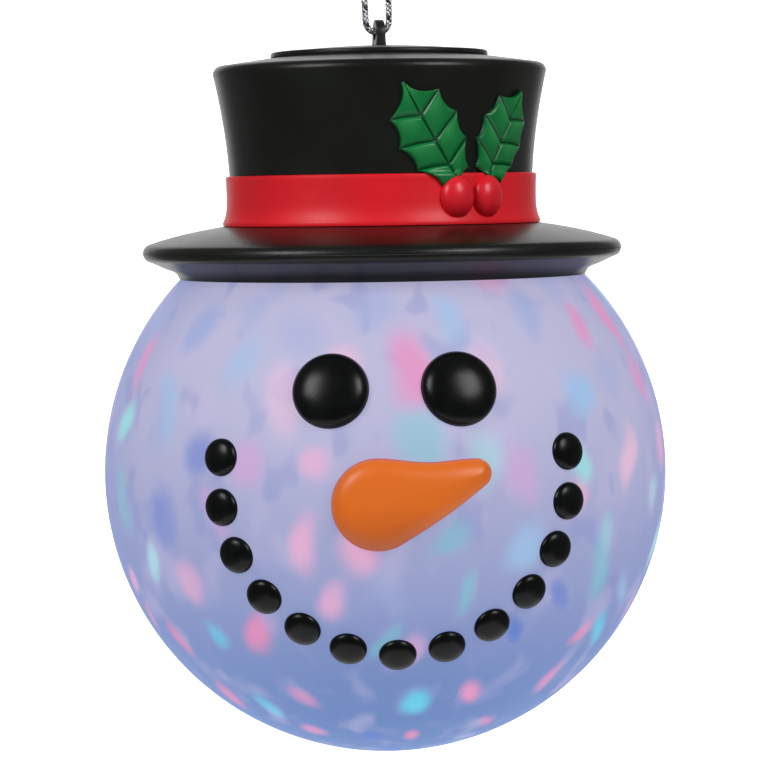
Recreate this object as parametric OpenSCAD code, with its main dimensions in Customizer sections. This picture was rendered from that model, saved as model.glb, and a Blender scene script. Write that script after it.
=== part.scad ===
// Lighted snowman-head hanging ornament.
// A translucent globe with a face, under a hollow top hat that carries the battery bay and the light engine.
// The origin is the centre of the hanging eye on the cap. The face looks towards -Y and +Z is up.

/* [Globe] */
// Outer radius of the globe
globe_r = 100; // [90:1:125]
// Wall of the globe
globe_wall = 1.6; // [1.2:0.1:2.4]
// Outer radius of the globe's neck
neck_r = 46; // [45:0.5:47]
// Height of the neck's flange above the globe's surface
neck_rise = 3.2; // [2.5:0.1:4]

/* [Hat] */
// Radius of the circle on the globe where the brim rests
seat_r = 72; // [66:0.5:76]
// Outer radius of the brim
brim_r = 85; // [80:0.5:100]
// Radius of the rounded rim of the brim
rim_r = 3.2; // [2.6:0.1:4]
// Height of the rim's centre above the seat
rim_rise = 9.4; // [8:0.1:11]
// Height of the crown's foot above the seat
foot_rise = 18.7; // [17:0.1:20]
// Radius of the crown at its waist
crown_waist_r = 53.6; // [52.5:0.1:56]
// How much wider the crown is at its top than at its waist
crown_flare = 5.5; // [3:0.1:8]
// Height of the crown from its foot to its widest line
crown_h = 53.3; // [50:0.5:65]
// Wall of the hat
hat_wall = 2; // [1.6:0.1:2.6]
// Width of the hat band
band_w = 17.4; // [12:0.2:20]
// Thickness of the hat band
band_t = 1.3; // [1:0.1:2]

/* [Holly] */
// Thickness of a holly leaf
leaf_t = 1.8; // [1.2:0.1:3]
// Half width of a holly leaf at its fullest, across its spikes
leaf_half = 12; // [9:0.5:14]
// How far a leaf's spikes lean towards its tip
leaf_sweep = 4.5; // [2:0.5:7]
// How deep a leaf's edge is hollowed between its spikes, as a share of the way to its midrib
leaf_hollow = 0.18; // [0.05:0.01:0.3]
// Half width of a berry
berry_r = 6.2; // [4:0.1:7]
// How far a berry stands out
berry_t = 4; // [3:0.1:5]

/* [Face] */
// Radius of an eye
eye_r = 12.8; // [9:0.1:16]
// How far an eye stands out of the globe
eye_t = 5; // [3:0.1:7]
// Angle of each eye from the middle of the face
eye_az = 13; // [9:0.5:18]
// Angle of the eyes above the globe's middle
eye_lift = 20.4; // [14:0.2:24]
// Radius of a mouth coal
coal_r = 6.3; // [4:0.1:7.5]
// How far a coal stands out of the globe
coal_t = 2.8; // [2:0.1:4]
// Angle from the middle of the mouth's circle to its coals
mouth_spread = 35.4; // [30:0.2:38]
// Angle of the mouth's middle above the globe's middle
mouth_lift = 3; // [0:0.5:6]
// Angle round the mouth's circle from coal to coal
coal_step = 16.4; // [14:0.1:18]
// Radius of the nose's big end
nose_big_r = 15.3; // [11:0.1:18]
// Radius of the nose's tip
nose_tip_r = 4.9; // [3:0.1:7]
// How far the nose stands out of the globe
nose_t = 6; // [4:0.1:8]
// Radius of the pegs that hold the face pieces
peg_r = 1.5; // [1.2:0.1:2]

/* [Cap] */
// Radius of the cap's rim
cap_r = 38.5; // [37:0.1:39]
// Thickness of the cap's edge
cap_edge = 1.8; // [1.4:0.1:2.4]
// Height of the cap's dome above its edge
cap_dome = 2.2; // [1:0.1:4]
// Radius of the hanging eye's hole
eye_hole_r = 2.2; // [2:0.1:2.6]
// Wall of the hanging tab round its hole
tab_wall = 2.9; // [2:0.1:4]
// Thickness of the hanging tab
tab_t = 3.3; // [2.5:0.1:4]
// Height of the hanging eye above the cap's dome
tab_rise = 4.1; // [3.5:0.1:5]
// Turn of the hanging tab about the vertical
tab_turn = 8; // [0:1:20]
// Depth of the cap's plug
plug_depth = 8; // [7:0.2:9]

/* [Battery bay] */
// Outer radius of the battery cup
cup_r = 39; // [38.5:0.1:39.2]
// Wall of the battery cup
cup_wall = 2; // [1.6:0.1:2.2]
// Inner depth of the battery cup
cup_depth = 24.4; // [24:0.2:30]
// Radius of a cell
cell_r = 7.25; // [7:0.05:7.3]
// Length of a cell with its nub
cell_l = 50.5; // [49:0.1:50.6]
// Rise of the cap for one full turn
thread_lead = 12; // [10:0.5:15]

/* [Light engine] */
// Thickness of the chassis plate
chassis_t = 2.5; // [2:0.1:3.5]
// Gear module
gear_mod = 0.8; // [0.7:0.05:0.85]
// Teeth of the lens gear
lens_teeth = 60; // [54:2:60]
// Teeth of the motor pinion
pinion_teeth = 12; // [10:2:14]
// Radius of the faceted lens
lens_r = 27; // [25.5:0.5:28]
// Wall of the faceted lens, measured at its thickest
lens_wall = 3.2; // [2.8:0.1:3.6]
// Radius of the lens post
post_r = 6; // [5.5:0.1:6.5]
// Radius of the motor
motor_r = 9; // [7:0.5:10]
// Height of the motor
motor_h = 16; // [12:0.5:18]

/* [Button] */
// Radius of the power button
button_r = 4; // [3.2:0.1:5]
// Travel of the power button
button_travel = 1; // [0.5:0.1:1.2]
// Height of the button above the crown's foot
button_rise = 25; // [22:0.5:30]

/* [Hidden] */
coal_count = 13;
function coal_name(i) = str("coal_", i < 9 ? "0" : "", i + 1);
$fn = 96;
fit = 0.1;          // gap between fixed pieces
run = 0.05;         // radial clearance of a turning fit
free = 0.3;         // clearance between pieces that move past each other

// Heights above the globe's centre
seat_h = sqrt(pow(globe_r, 2) - pow(seat_r, 2));
rim_h = seat_h + rim_rise;
foot_h = seat_h + foot_rise;
waist_h = foot_h + 10;
top_h = foot_h + crown_h;
shoulder_h = top_h + 2.8;
deck_h = shoulder_h + 2.4;            // upper face of the crown's top at its hole
cup_top = deck_h - 0.2;
cap_h = cup_top + 0.7;                // lower face of the cap's disc
apex_h = cap_h + cap_edge + cap_dome;
eye_h = apex_h + tab_rise;            // the hanging eye, which is the origin
neck_top = sqrt(pow(globe_r, 2) - pow(neck_r, 2)) + neck_rise;
seal_t = 0.8;
chassis_h = neck_top + seal_t;
chassis_top = chassis_h + chassis_t;
cup_in = cup_r - cup_wall;
cell_room = 1.9;                      // room for the cells' rests and lead between the floor and the plug
cup_floor = cup_top - max(cup_depth, 2 * cell_r + plug_depth + cell_room);     // upper face of its floor
cup_base = cup_floor - cup_wall;

module at_eye() { translate([0, 0, -eye_h]) children(); }
module ring(r_out, r_in, h0, h1) {
    translate([0, 0, h0]) difference() {
        cylinder(r = r_out, h = h1 - h0);
        translate([0, 0, -1]) cylinder(r = r_in, h = h1 - h0 + 2);
    }
}
// Places its children on the globe's surface, +Z pointing straight out
module on_globe(az, lift) {
    rotate([0, 0, az]) rotate([90 - lift, 0, 0]) translate([0, 0, globe_r]) children();
}
// Repeats its children at angles about the vertical
module each_angle(angles) { for (a = angles) rotate([0, 0, a]) children(); }

// ---- Hat: outlines as [radius, height]
function crown_curve(h) = h >= waist_h
    ? crown_waist_r + crown_flare * pow((h - waist_h) / (top_h - waist_h), 1.8)
    : crown_waist_r + 2.1 * pow((waist_h - h) / (waist_h - foot_h), 3);
crown_heights = concat([for (i = [0:5]) foot_h + 2 * i],
    [for (i = [1:11]) waist_h + i * (top_h - waist_h) / 11]);
crown_steps = len(crown_heights) - 1;
crown_line = [for (h = crown_heights) [crown_curve(h), h]];
function crown_r(h) = lookup(h, [for (p = crown_line) [p[1], p[0]]]);
crown_top_r = crown_r(top_h);
shoulder_in = 2.7;                    // how far the crown's top edge lies inside its widest line
shoulder_line = [[crown_top_r - 0.7, top_h + 1.6], [crown_top_r - shoulder_in, shoulder_h]];
deck_r = cup_r + 0.5;                 // hole in the crown's top
foot_r = crown_r(foot_h);
rim_c = brim_r - rim_r;
function rim_arc(a0, a1, r) = [for (i = [0:6]) let (a = a0 + i * (a1 - a0) / 6)
    [rim_c + r * cos(a), rim_h + r * sin(a)]];
brim_top = [
    [foot_r + 0.22 * (rim_c - foot_r), foot_h - 1.5],
    [foot_r + 0.5 * (rim_c - foot_r), foot_h - 3.3],
    [foot_r + 0.78 * (rim_c - foot_r), foot_h - 5]];
lug_r = neck_r + 2.4;
lug_h0 = chassis_top + fit;
lug_h1 = lug_h0 + 2.5;
lug_end = 3.2;                        // from a lug's screw to its inner end
neck_angles = [45:90:315];
button_h = foot_h + button_rise;
button_y = crown_r(button_h);
button_boss = 4.2;
brim_post_r = seat_r + 3;
brim_post_angles = [0:60:300];
split_h = foot_h;                     // the crown and the brim part here
split_r = foot_r - 1.25 * hat_wall;
module hat_crown() {
    outer = concat([[foot_r, split_h + fit / 2]], [for (i = [1:crown_steps]) crown_line[i]], shoulder_line,
        [[deck_r, deck_h]]);
    inner = concat(
        [[deck_r, deck_h - hat_wall], [crown_top_r - shoulder_in - hat_wall, shoulder_h - hat_wall]],
        [for (i = [crown_steps:-1:1]) crown_line[i] - [hat_wall, i == crown_steps ? 0.6 : 0]],
        [[split_r, split_h + fit / 2]]);
    color("#1c1e1c") at_eye() difference() {
        union() {
            rotate_extrude() polygon(concat(outer, inner));
            each_angle(neck_angles) intersection() {
                translate([lug_r - lug_end, -4, lug_h0])
                    cube([crown_waist_r - lug_r + lug_end, 8, lug_h1 - lug_h0]);
                cylinder(r = crown_waist_r - 0.5, h = 2 * globe_r);
            }
            translate([0, button_y, button_h]) rotate([90, 0, 0]) translate([0, 0, 1])
                cylinder(r = button_r + 2.2, h = button_boss - 1);
        }
        each_angle(neck_angles) translate([lug_r, 0, lug_h0 - 1]) cylinder(r = 1.25, h = 5);
        translate([0, button_y + 3, button_h]) rotate([90, 0, 0]) cylinder(r = button_r + run, h = 12);
    }
}
module hat_brim() {
    outer = concat(rim_arc(0, 72, rim_r), [brim_top[2], brim_top[1], brim_top[0]],
        [[foot_r, split_h - fit / 2]]);
    inner = concat([[split_r, split_h - fit / 2], [foot_r - hat_wall, foot_h - hat_wall]],
        [for (p = brim_top) p - [0.4, hat_wall]], rim_arc(60, 0, rim_r - hat_wall + 0.6));
    color("#1c1e1c") at_eye() difference() {
        union() {
            rotate_extrude() polygon(concat(outer, inner));
            each_angle(brim_post_angles) translate([brim_post_r, 0, rim_h - 1])
                cylinder(r = 2.4, h = brim_top[2][1] - rim_h);
        }
        each_angle(brim_post_angles) translate([brim_post_r, 0, rim_h - 2]) cylinder(r = 0.95, h = 4);
    }
}

band_h1 = foot_h + band_w;
band_steps = 8;
function band_h(i) = foot_h + 0.1 + i * (band_w - 0.1) / band_steps;
function skin_r(h) = h <= band_h1 ? crown_r(h) + fit / 2 + band_t : crown_r(h);
module hat_band() {
    inner = [for (i = [0:band_steps]) [crown_r(band_h(i)) + fit / 2, band_h(i)]];
    outer = [for (i = [band_steps:-1:0]) [crown_r(band_h(i)) + fit / 2 + band_t
        - (i == band_steps ? 0.4 : 0), band_h(i) - (i == 0 ? 0.2 : 0)]];
    shoulder = [[crown_r(band_h1) + fit / 2 + band_t, band_h1 - 0.5]];
    color("#c3202a") at_eye() rotate_extrude() polygon(concat(inner, [outer[0]], shoulder,
        [for (i = [1:band_steps]) outer[i]]));
}

module brim_underside() {
    lip_r = seat_r - 1.8;
    lip_h = sqrt(pow(globe_r + fit, 2) - pow(lip_r, 2));
    seat_edge = [seat_r + 0.1, sqrt(pow(globe_r + fit, 2) - pow(seat_r + 0.1, 2))];
    color("#181a18") at_eye() difference() {
        union() {
            rotate_extrude() polygon(concat(
                [[lip_r, lip_h], seat_edge, [seat_r + 1.4, seat_h + 2.3], [seat_r + 5, seat_h + 3.7]],
                rim_arc(-75, -1.5, rim_r), rim_arc(-1.5, -60, rim_r - 1.5),
                [[seat_r + 4.6, seat_h + 5.7], [lip_r, seat_h + 4.3]]));
            each_angle(brim_post_angles) translate([brim_post_r, 0, seat_h + 4.6])
                cylinder(r = 3, h = rim_h - 1 - fit - seat_h - 4.6);
        }
        each_angle(brim_post_angles) {
            translate([brim_post_r, 0, seat_h]) cylinder(r = 1.1, h = 12);
            translate([brim_post_r, 0, seat_h - 1]) cylinder(r = 2.1, h = 6.6);
        }
    }
}
module brim_screws() {
    color("silver") at_eye() each_angle(brim_post_angles) {
        translate([brim_post_r, 0, seat_h + 4.4]) cylinder(r = 1.9, h = 1.15);
        translate([brim_post_r, 0, seat_h + 5.5]) cylinder(r = 0.92, h = rim_h + 1.8 - seat_h - 5.5);
    }
}

// ---- Holly: each outline lies flat in front of the crown as [across, height above the seat]
leaf_left_az = 16;
leaf_right_az = 46;
leaf_left_foot = [9.5, 34];
leaf_left_tip = [-11, 66.5];
leaf_right_foot = [-6.5, 34.5];
leaf_right_tip = [8.5, 64];
// Where the ribs cross the midrib, from 1 at its tip to 0 at its foot
leaf_ribs = [0.66, 0.4, 0.15, 0];
// A leaf's share of its full half width at a rib, and how far up the rib's spike leans there
function leaf_full(t) = t > 0 ? pow(sin(180 * (0.2 + 0.8 * t)), 0.7) : 0.52;
function leaf_lean(t) = leaf_sweep * (t > 0 ? 1 : 0.2);
// The end of a rib; side is 1 to the left of the midrib and -1 to its right
function leaf_spike(foot, tip, t, side) = let (way = unit(tip - foot))
    foot + (tip - foot) * t + way * leaf_lean(t) + side * [-way[1], way[0]] * leaf_half * leaf_full(t);
// One side of a leaf from tip to foot, hollowed between its spikes
function leaf_side(foot, tip, side) = let (
        spikes = concat([tip], [for (t = leaf_ribs) leaf_spike(foot, tip, t, side)]),
        steps = concat([1], leaf_ribs)
    ) [for (i = [0:len(spikes) - 1]) each i == 0 ? [tip] : let (
        between = (spikes[i - 1] + spikes[i]) / 2,
        spine = foot + (tip - foot) * (steps[i - 1] + steps[i]) / 2
    ) [between + (spine - between) * leaf_hollow, spikes[i]]];
function leaf_line(foot, tip) = let (right = leaf_side(foot, tip, -1), n = len(right))
    concat(leaf_side(foot, tip, 1), [foot], [for (i = [n - 1:-1:1]) right[i]]);
module skin_layer(gap, t) {
    low = [for (i = [0:band_steps]) [skin_r(band_h(i)), band_h(i)]];
    high = [for (i = [0:9]) let (h = band_h1 + 0.1 + i * (top_h - band_h1 - 0.3) / 9) [crown_r(h), h]];
    line = concat(low, [[skin_r(band_h1), band_h1 + 0.1]], high);
    n = len(line);
    rotate_extrude() polygon(concat([for (i = [0:n - 1]) [line[i][0] + gap, line[i][1]]],
        [for (i = [n - 1:-1:0]) let (h = line[i][1])
            [max(line[i][0], crown_r(h) + 0.5 * band_t) + gap + t, h]]));
}
module holly_leaf(foot, tip, az) {
    color("#00692f") at_eye() intersection() {
        skin_layer(fit, leaf_t);
        rotate([0, 0, az]) translate([0, 0, seat_h]) rotate([90, 0, 0]) translate([0, 0, 20])
            linear_extrude(height = 60) polygon(leaf_line(foot, tip));
    }
}
berry_left_az = 25.6;
berry_right_az = 38.4;
berry_h = foot_h + 9.6;
leaf_low = seat_h + 31.7;
leaf_front = skin_r(band_h1) + leaf_t + 3 * fit;
module holly_berry(az) {
    under = [for (i = [0:band_steps]) if (band_h(i) < leaf_low) [skin_r(band_h(i)) + fit, band_h(i)]];
    color("#be2330") at_eye() difference() {
        rotate([0, 0, az]) translate([0, -skin_r(berry_h) - 0.4, berry_h])
            scale([berry_r, berry_t, berry_r + 1.1]) sphere(r = 1);
        rotate_extrude() polygon(concat([[0, foot_h - 8]], under, [[under[len(under) - 1][0], leaf_low]],
            [[leaf_front, leaf_low], [leaf_front, band_h1 + 9], [0, band_h1 + 9]]));
    }
}

// ---- Face
module dome(r, t) {
    difference() {
        union() {
            scale([r, r, t]) sphere(r = 1);
            translate([0, 0, -globe_wall - 2]) cylinder(r = peg_r, h = globe_wall + 3);
        }
        difference() {
            translate([0, 0, -globe_r]) sphere(r = globe_r + run, $fn = 300);
            translate([0, 0, -globe_r]) cylinder(r = peg_r, h = 2 * globe_r);
        }
    }
}
module face_eye(side) { color("#050808") at_eye() on_globe(side * eye_az, eye_lift) dome(eye_r, eye_t); }
// The coals stand at equal steps round a small circle about the mouth's middle
module on_mouth(i) {
    k = i - (coal_count - 1) / 2;
    rotate([-mouth_lift, 0, 0]) rotate([0, -k * coal_step, 0]) rotate([mouth_spread, 0, 0])
        rotate([90, 0, 0]) translate([0, 0, globe_r]) children();
}
module coal(i) { color("#060808") at_eye() on_mouth(i) dome(coal_r, coal_t); }
nose_big = [-3.7, -1.3];
nose_tip = [15.2, 4.2];
nose_pegs = [[-3.7, -1.3], [9, 2.3]];
module nose() {
    color("#da6c23") at_eye() difference() {
        union() {
            hull() {
                on_globe(nose_big[0], nose_big[1]) scale([nose_big_r, nose_big_r, nose_t])
                    sphere(r = 1, $fn = 32);
                on_globe(nose_tip[0], nose_tip[1]) scale([nose_tip_r, nose_tip_r, 0.8 * nose_t])
                    sphere(r = 1, $fn = 32);
            }
            for (p = nose_pegs) on_globe(p[0], p[1]) translate([0, 0, -globe_wall - 2])
                cylinder(r = peg_r, h = globe_wall + 3);
        }
        difference() {
            sphere(r = globe_r + run, $fn = 300);
            for (p = nose_pegs) on_globe(p[0], p[1]) translate([0, 0, -9]) cylinder(r = peg_r, h = 12);
        }
    }
}

// ---- Globe
module peg_hole() { translate([0, 0, -globe_wall - 3]) cylinder(r = peg_r + fit, h = globe_wall + 6); }
flange_r = neck_r + 4.5;
module globe() {
    neck_in = neck_r - 1.8;
    color("#aab0d8") at_eye() difference() {
        union() {
            difference() {
                sphere(r = globe_r, $fn = 128);
                sphere(r = globe_r - globe_wall, $fn = 128);
                cylinder(r = neck_in, h = 2 * globe_r);
            }
            ring(neck_r, neck_in, neck_top - neck_rise - 1.5, neck_top);
            ring(flange_r, neck_in, neck_top - 1.8, neck_top);
            each_angle(neck_angles) translate([lug_r, 0, neck_top - 8]) cylinder(r = 2.6, h = 8);
        }
        each_angle(neck_angles) translate([lug_r, 0, neck_top - 6.5]) cylinder(r = 1.2, h = 8);
        for (side = [-1, 1]) on_globe(side * eye_az, eye_lift) peg_hole();
        for (i = [0:coal_count - 1]) on_mouth(i) peg_hole();
        for (p = nose_pegs) on_globe(p[0], p[1]) peg_hole();
    }
}
module globe_seal() {
    color("#404040") at_eye() ring(neck_r + 0.7, neck_r - 1.4, neck_top, chassis_h);
}

// ---- Cap, gasket and thread
thread_rate = 360 / thread_lead;      // degrees of helix for each millimetre of height
ramp_h0 = cup_top - 5.4;
ramp_l = 4;
ramp_wide = 45;
ramp_start = 17;
lug_wide = 40;
plug_r = cup_in - 2;
module helix_block(r_in, r_out, wide, start, l) {
    steps = 6;
    rotate([0, 0, start])
        linear_extrude(height = l, twist = -thread_rate * l, slices = 10, segments = 0, $fn = 8)
        polygon(concat([for (i = [0:steps]) let (a = i * wide / steps) [r_in * cos(a), r_in * sin(a)]],
            [for (i = [steps:-1:0]) let (a = i * wide / steps) [r_out * cos(a), r_out * sin(a)]]));
}
module cap() {
    tab_r = eye_hole_r + tab_wall;
    color("#232523") at_eye() difference() {
        union() {
            rotate_extrude() polygon([[0, cap_h], [cap_r, cap_h], [cap_r, cap_h + cap_edge - 0.5],
                [cap_r - 0.6, cap_h + cap_edge], [28, cap_h + cap_edge + 0.4 * cap_dome],
                [15, cap_h + cap_edge + 0.85 * cap_dome], [6, apex_h], [0, apex_h]]);
            ring(plug_r, plug_r - 1.8, cap_h - plug_depth, cap_h + 0.5);
            for (i = [0:2]) translate([0, 0, ramp_h0])
                helix_block(plug_r - 0.9, cup_in - free, lug_wide, 120 * i + ramp_start + ramp_wide + 9, 2);
            rotate([0, 0, tab_turn]) {
                translate([-tab_t / 2, 0, eye_h]) rotate([0, 90, 0]) cylinder(r = tab_r, h = tab_t);
                translate([-tab_t / 2, -tab_r, apex_h - 1.5]) cube([tab_t, 2 * tab_r, tab_rise + 1.5]);
                translate([-tab_t / 2 - 0.6, -tab_r - 1, apex_h - 1]) cube([tab_t + 1.2, 2 * tab_r + 2, 1.8]);
            }
        }
        rotate([0, 0, tab_turn]) translate([-tab_t, 0, eye_h]) rotate([0, 90, 0])
            cylinder(r = eye_hole_r, h = 2 * tab_t);
    }
}
module cap_gasket() {
    color("#303030") at_eye() ring(cap_r - 0.3, cup_in - 0.6, cup_top + fit / 2, cap_h - fit / 2);
}

// ---- Hanging cord: a taut loop through the eye, tied in a knot above. Points are [along the hole, height].
cord_r = 1.05;
cord_sides = 8;
cord_route = [[-1.2, 58], [-3.9, 54], [-6.6, 49], [-8.3, 43], [-8.6, 37], [-8, 31], [-7, 25], [-5.9, 19],
    [-5.1, 13], [-4.8, 8], [-4.7, 4.7], [-4.4, 3.1], [-3.5, 1.7], [-2.1, 0.8], [-0.5, 0.5], [1.1, 0.8],
    [2.5, 1.7], [3.4, 3.1], [3.7, 4.7], [3.7, 8], [3.7, 13], [4.3, 19], [5.3, 25], [6.3, 31], [7, 37], [7, 43],
    [5.8, 49], [3.6, 54], [1.2, 58]];
function unit(v) = v / norm(v);
// A closed tube of n sides round the points p; side is a direction that no stretch of the tube follows
module tube(p, r, n, side) {
    last = len(p) - 1;
    ways = [for (i = [0:last]) unit(p[min(i + 1, last)] - p[max(i - 1, 0)])];
    points = [for (i = [0:last]) let (u = unit(cross(ways[i], side)), v = cross(ways[i], u))
        for (k = [0:n - 1]) p[i] + r * (cos(360 * k / n) * u + sin(360 * k / n) * v)];
    walls = [for (i = [0:last - 1]) for (k = [0:n - 1]) let (m = (k + 1) % n)
        [i * n + k, i * n + m, (i + 1) * n + m, (i + 1) * n + k]];
    polyhedron(points, concat([[for (k = [n - 1:-1:0]) k]], [[for (k = [0:n - 1]) last * n + k]], walls));
}
module hanging_cord() {
    color("#c8ccd0") rotate([0, 0, tab_turn])
        tube([for (p = cord_route) [p[0], 0, p[1]]], cord_r, cord_sides, [0, 1, 0]);
}
module cord_knot() {
    color("#c8ccd0") rotate([0, 0, tab_turn]) union() {
        translate([0, 0, 60.6]) sphere(r = 2.9);
        for (s = [-1, 1]) translate([0.8 * s, 0, 61]) rotate([0, 14 * s, 0]) cylinder(r = cord_r, h = 9);
    }
}

// ---- Battery bay
cell_pitch = 2 * cell_r + 0.5;
cell_h = cup_floor + 0.4 + cell_r;
cell_shift = 1.9;
wall_y = cell_l / 2 + 2.35;
pillar_x = 30;
pillar_y = 12;
module each_pillar() {
    for (x = [-1, 1]) for (y = [-1, 1]) translate([x * pillar_x, y * pillar_y, 0]) children();
}
function cell_way(i) = i == 1 ? -1 : 1;     // the middle cell lies the other way
contact_t = 0.4;
contact_w = 11;
rest_t = 1.5;                         // plates that stand behind the contacts
rest_w = 2 * cell_pitch + contact_w;
module battery_bay() {
    color("#2c2e30") at_eye() difference() {
        union() {
            ring(cup_r, cup_in, cup_base, cup_top);
            translate([0, 0, cup_base]) cylinder(r = cup_r - 0.5, h = cup_wall);
            ring(cup_r + 4, cup_r - 0.5, deck_h - hat_wall - 2.9, deck_h - hat_wall - 0.9);
            for (s = [-1, 1]) translate([-rest_w / 2, s > 0 ? wall_y : -wall_y - rest_t, cup_floor - 0.5])
                cube([rest_w, rest_t, 2 * cell_r + 0.9]);
            for (i = [0:2]) translate([0, 0, ramp_h0])
                helix_block(plug_r + 0.4, cup_in + 0.7, ramp_wide, 120 * i + ramp_start, ramp_l);
        }
        each_pillar() translate([0, 0, cup_base - 1]) cylinder(r = 1.25, h = cup_wall + 3);
    }
}
module bay_screws() {
    color("silver") at_eye() each_pillar() {
        translate([0, 0, cup_floor + run]) cylinder(r = 2.3, h = 1.5);
        translate([0, 0, cup_floor - 9]) cylinder(r = 1.1, h = 9.5);
    }
}
module battery(i) {
    way = cell_way(i);
    nub = 1.4;
    color("#35527a") at_eye() translate([(i - 1) * cell_pitch, way * cell_shift, cell_h])
        rotate([-90 * way, 0, 0]) translate([0, 0, -cell_l / 2]) union() {
            cylinder(r = cell_r, h = cell_l - nub);
            translate([0, 0, cell_l - nub - 0.5]) cylinder(r = 2.75, h = nub + 0.5);
        }
}
module battery_springs() {
    spring_l = 2 * wall_y - 2 * contact_t - cell_l - 0.25;
    color("#d0d0c8") at_eye() for (i = [0:2]) let (way = cell_way(i))
        translate([(i - 1) * cell_pitch, -way * (wall_y - contact_t - run), cell_h]) rotate([-90 * way, 0, 0])
            linear_extrude(height = spring_l, twist = 360 * 2.5, slices = 30, segments = 0, $fn = 6)
                translate([3.4, 0]) circle(r = 0.55);
}
module battery_contacts() {
    near = wall_y - contact_t;
    color("#d8c890") at_eye() for (s = [-1, 1]) for (i = [0:2])
        translate([(i - 1) * cell_pitch - contact_w / 2, s > 0 ? near - run / 2 : -wall_y + run / 2, cell_h - 6])
            cube([contact_w, contact_t - run / 2, 12]);
}

// ---- Chassis and light engine
gear_r = gear_mod * lens_teeth / 2;
pinion_r = gear_mod * pinion_teeth / 2;
motor_y = -(gear_r + pinion_r);
gear_h1 = chassis_h - 4.8;            // upper face of the lens gear
gear_t = 4;
disc_t = 1.4;
post_end = chassis_h - 25;
bracket_wall = 1.6;
bracket_ear = motor_r + bracket_wall + 3;
motor_h0 = chassis_top + run;
shaft_r = 1;
board_y = 42.8;
board_t = 1.2;
board_screw_x = 4.5;
module chassis() {
    color("#d8d8d4") at_eye() difference() {
        union() {
            ring(neck_r + 4.2, shaft_r + 0.6, chassis_h, chassis_top);
            translate([0, 0, chassis_h]) cylinder(r = 12, h = chassis_t);
            translate([0, 0, post_end]) cylinder(r = post_r, h = chassis_h - post_end + 1);
            each_pillar() translate([0, 0, chassis_h + 1])
                cylinder(r = 3.4, h = cup_base - chassis_h - 1 - run);
            for (x = [-13, 9]) translate([x, board_y - board_t - 2.1, chassis_top - 0.5]) cube([4, 2, 8]);
        }
        translate([0, 0, post_end - 1]) cylinder(r = 3, h = chassis_top - post_end + 2);
        each_angle(neck_angles) translate([lug_r, 0, chassis_h - 1])
            cylinder(r = 1.25, h = chassis_t + 2);
        each_pillar() translate([0, 0, cup_base - 11]) cylinder(r = 1.15, h = 12);
        translate([0, motor_y, chassis_h - 1]) cylinder(r = 3, h = chassis_t + 2);
        for (s = [-1, 1]) {
            translate([s * bracket_ear, motor_y, chassis_h - 1]) cylinder(r = 1, h = chassis_t + 2);
            translate([s * board_screw_x, 0, post_end - 1]) cylinder(r = 0.75, h = 7);
        }
    }
}
module neck_screws() {
    color("silver") at_eye() each_angle(neck_angles) translate([lug_r, 0, 0]) {
        translate([0, 0, lug_h1 + run]) cylinder(r = 2.3, h = 1.6);
        translate([0, 0, neck_top - 6]) cylinder(r = 1.15, h = lug_h1 + 0.5 - neck_top + 6);
    }
}
module motor() {
    color("#a8abb0") at_eye() translate([0, motor_y, 0]) difference() {
        union() {
            translate([0, 0, motor_h0]) cylinder(r = motor_r, h = motor_h);
            translate([0, 0, motor_h0 + motor_h - 0.5]) cylinder(r = 3, h = 1.7);
            translate([0, 0, chassis_h + 0.4]) cylinder(r = 2.9, h = chassis_t);
        }
        translate([0, 0, chassis_h - 1]) cylinder(r = shaft_r + run, h = 12);
    }
}
pinion_h0 = gear_h1 - gear_t + free;
pinion_h1 = gear_h1 + 0.6;
module motor_shaft() {
    color("#c8c8cc") at_eye() translate([0, motor_y, pinion_h0 - 0.8])
        cylinder(r = shaft_r, h = chassis_h + 9 - pinion_h0);
}
// Spur gear outline with straight-sided teeth; a tooth points along +X when half is 0
module gear_outline(teeth, half) {
    pitch = gear_mod * teeth / 2;
    tip = pitch + 0.75 * gear_mod;
    root = pitch - 1.1 * gear_mod;
    step = 360 / teeth;
    polygon([for (i = [0:teeth - 1]) let (a = (i + half) * step)
        for (c = [[root, -0.33], [tip, -0.11], [tip, 0.11], [root, 0.33]])
            [c[0] * cos(a + c[1] * step), c[0] * sin(a + c[1] * step)]]);
}
module motor_pinion() {
    color("#e8e0c8") at_eye() translate([0, motor_y, pinion_h0]) rotate([0, 0, 90]) difference() {
        linear_extrude(height = pinion_h1 - pinion_h0) gear_outline(pinion_teeth, 0.5);
        translate([0, 0, -1]) cylinder(r = shaft_r + run / 2, h = pinion_h1 - pinion_h0 + 2);
    }
}
module motor_bracket() {
    color("#c0c2c6") at_eye() translate([0, motor_y, 0]) difference() {
        union() {
            ring(motor_r + bracket_wall, motor_r + run, motor_h0, motor_h0 + 6);
            for (s = [-1, 1]) translate([s * bracket_ear, 0, motor_h0]) cylinder(r = 3, h = bracket_wall);
            for (s = [-1, 1]) translate([s > 0 ? motor_r + 0.8 : -bracket_ear, -3, motor_h0])
                cube([bracket_ear - motor_r - 0.8, 6, bracket_wall]);
        }
        for (s = [-1, 1]) translate([s * bracket_ear, 0, motor_h0 - 1]) cylinder(r = 1.1, h = bracket_wall + 2);
    }
}
module motor_screws() {
    color("silver") at_eye() for (s = [-1, 1]) translate([s * bracket_ear, motor_y, 0]) {
        translate([0, 0, motor_h0 + bracket_wall + run]) cylinder(r = 2, h = 1.3);
        translate([0, 0, chassis_h + 0.2]) cylinder(r = 0.95, h = motor_h0 + bracket_wall + 0.5 - chassis_h);
    }
}
hub_r = post_r + 2;
washer_t = 0.6;
hub_h0 = post_end + 1.2 + washer_t + 0.2;
lens_in = lens_r - lens_wall;
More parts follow.
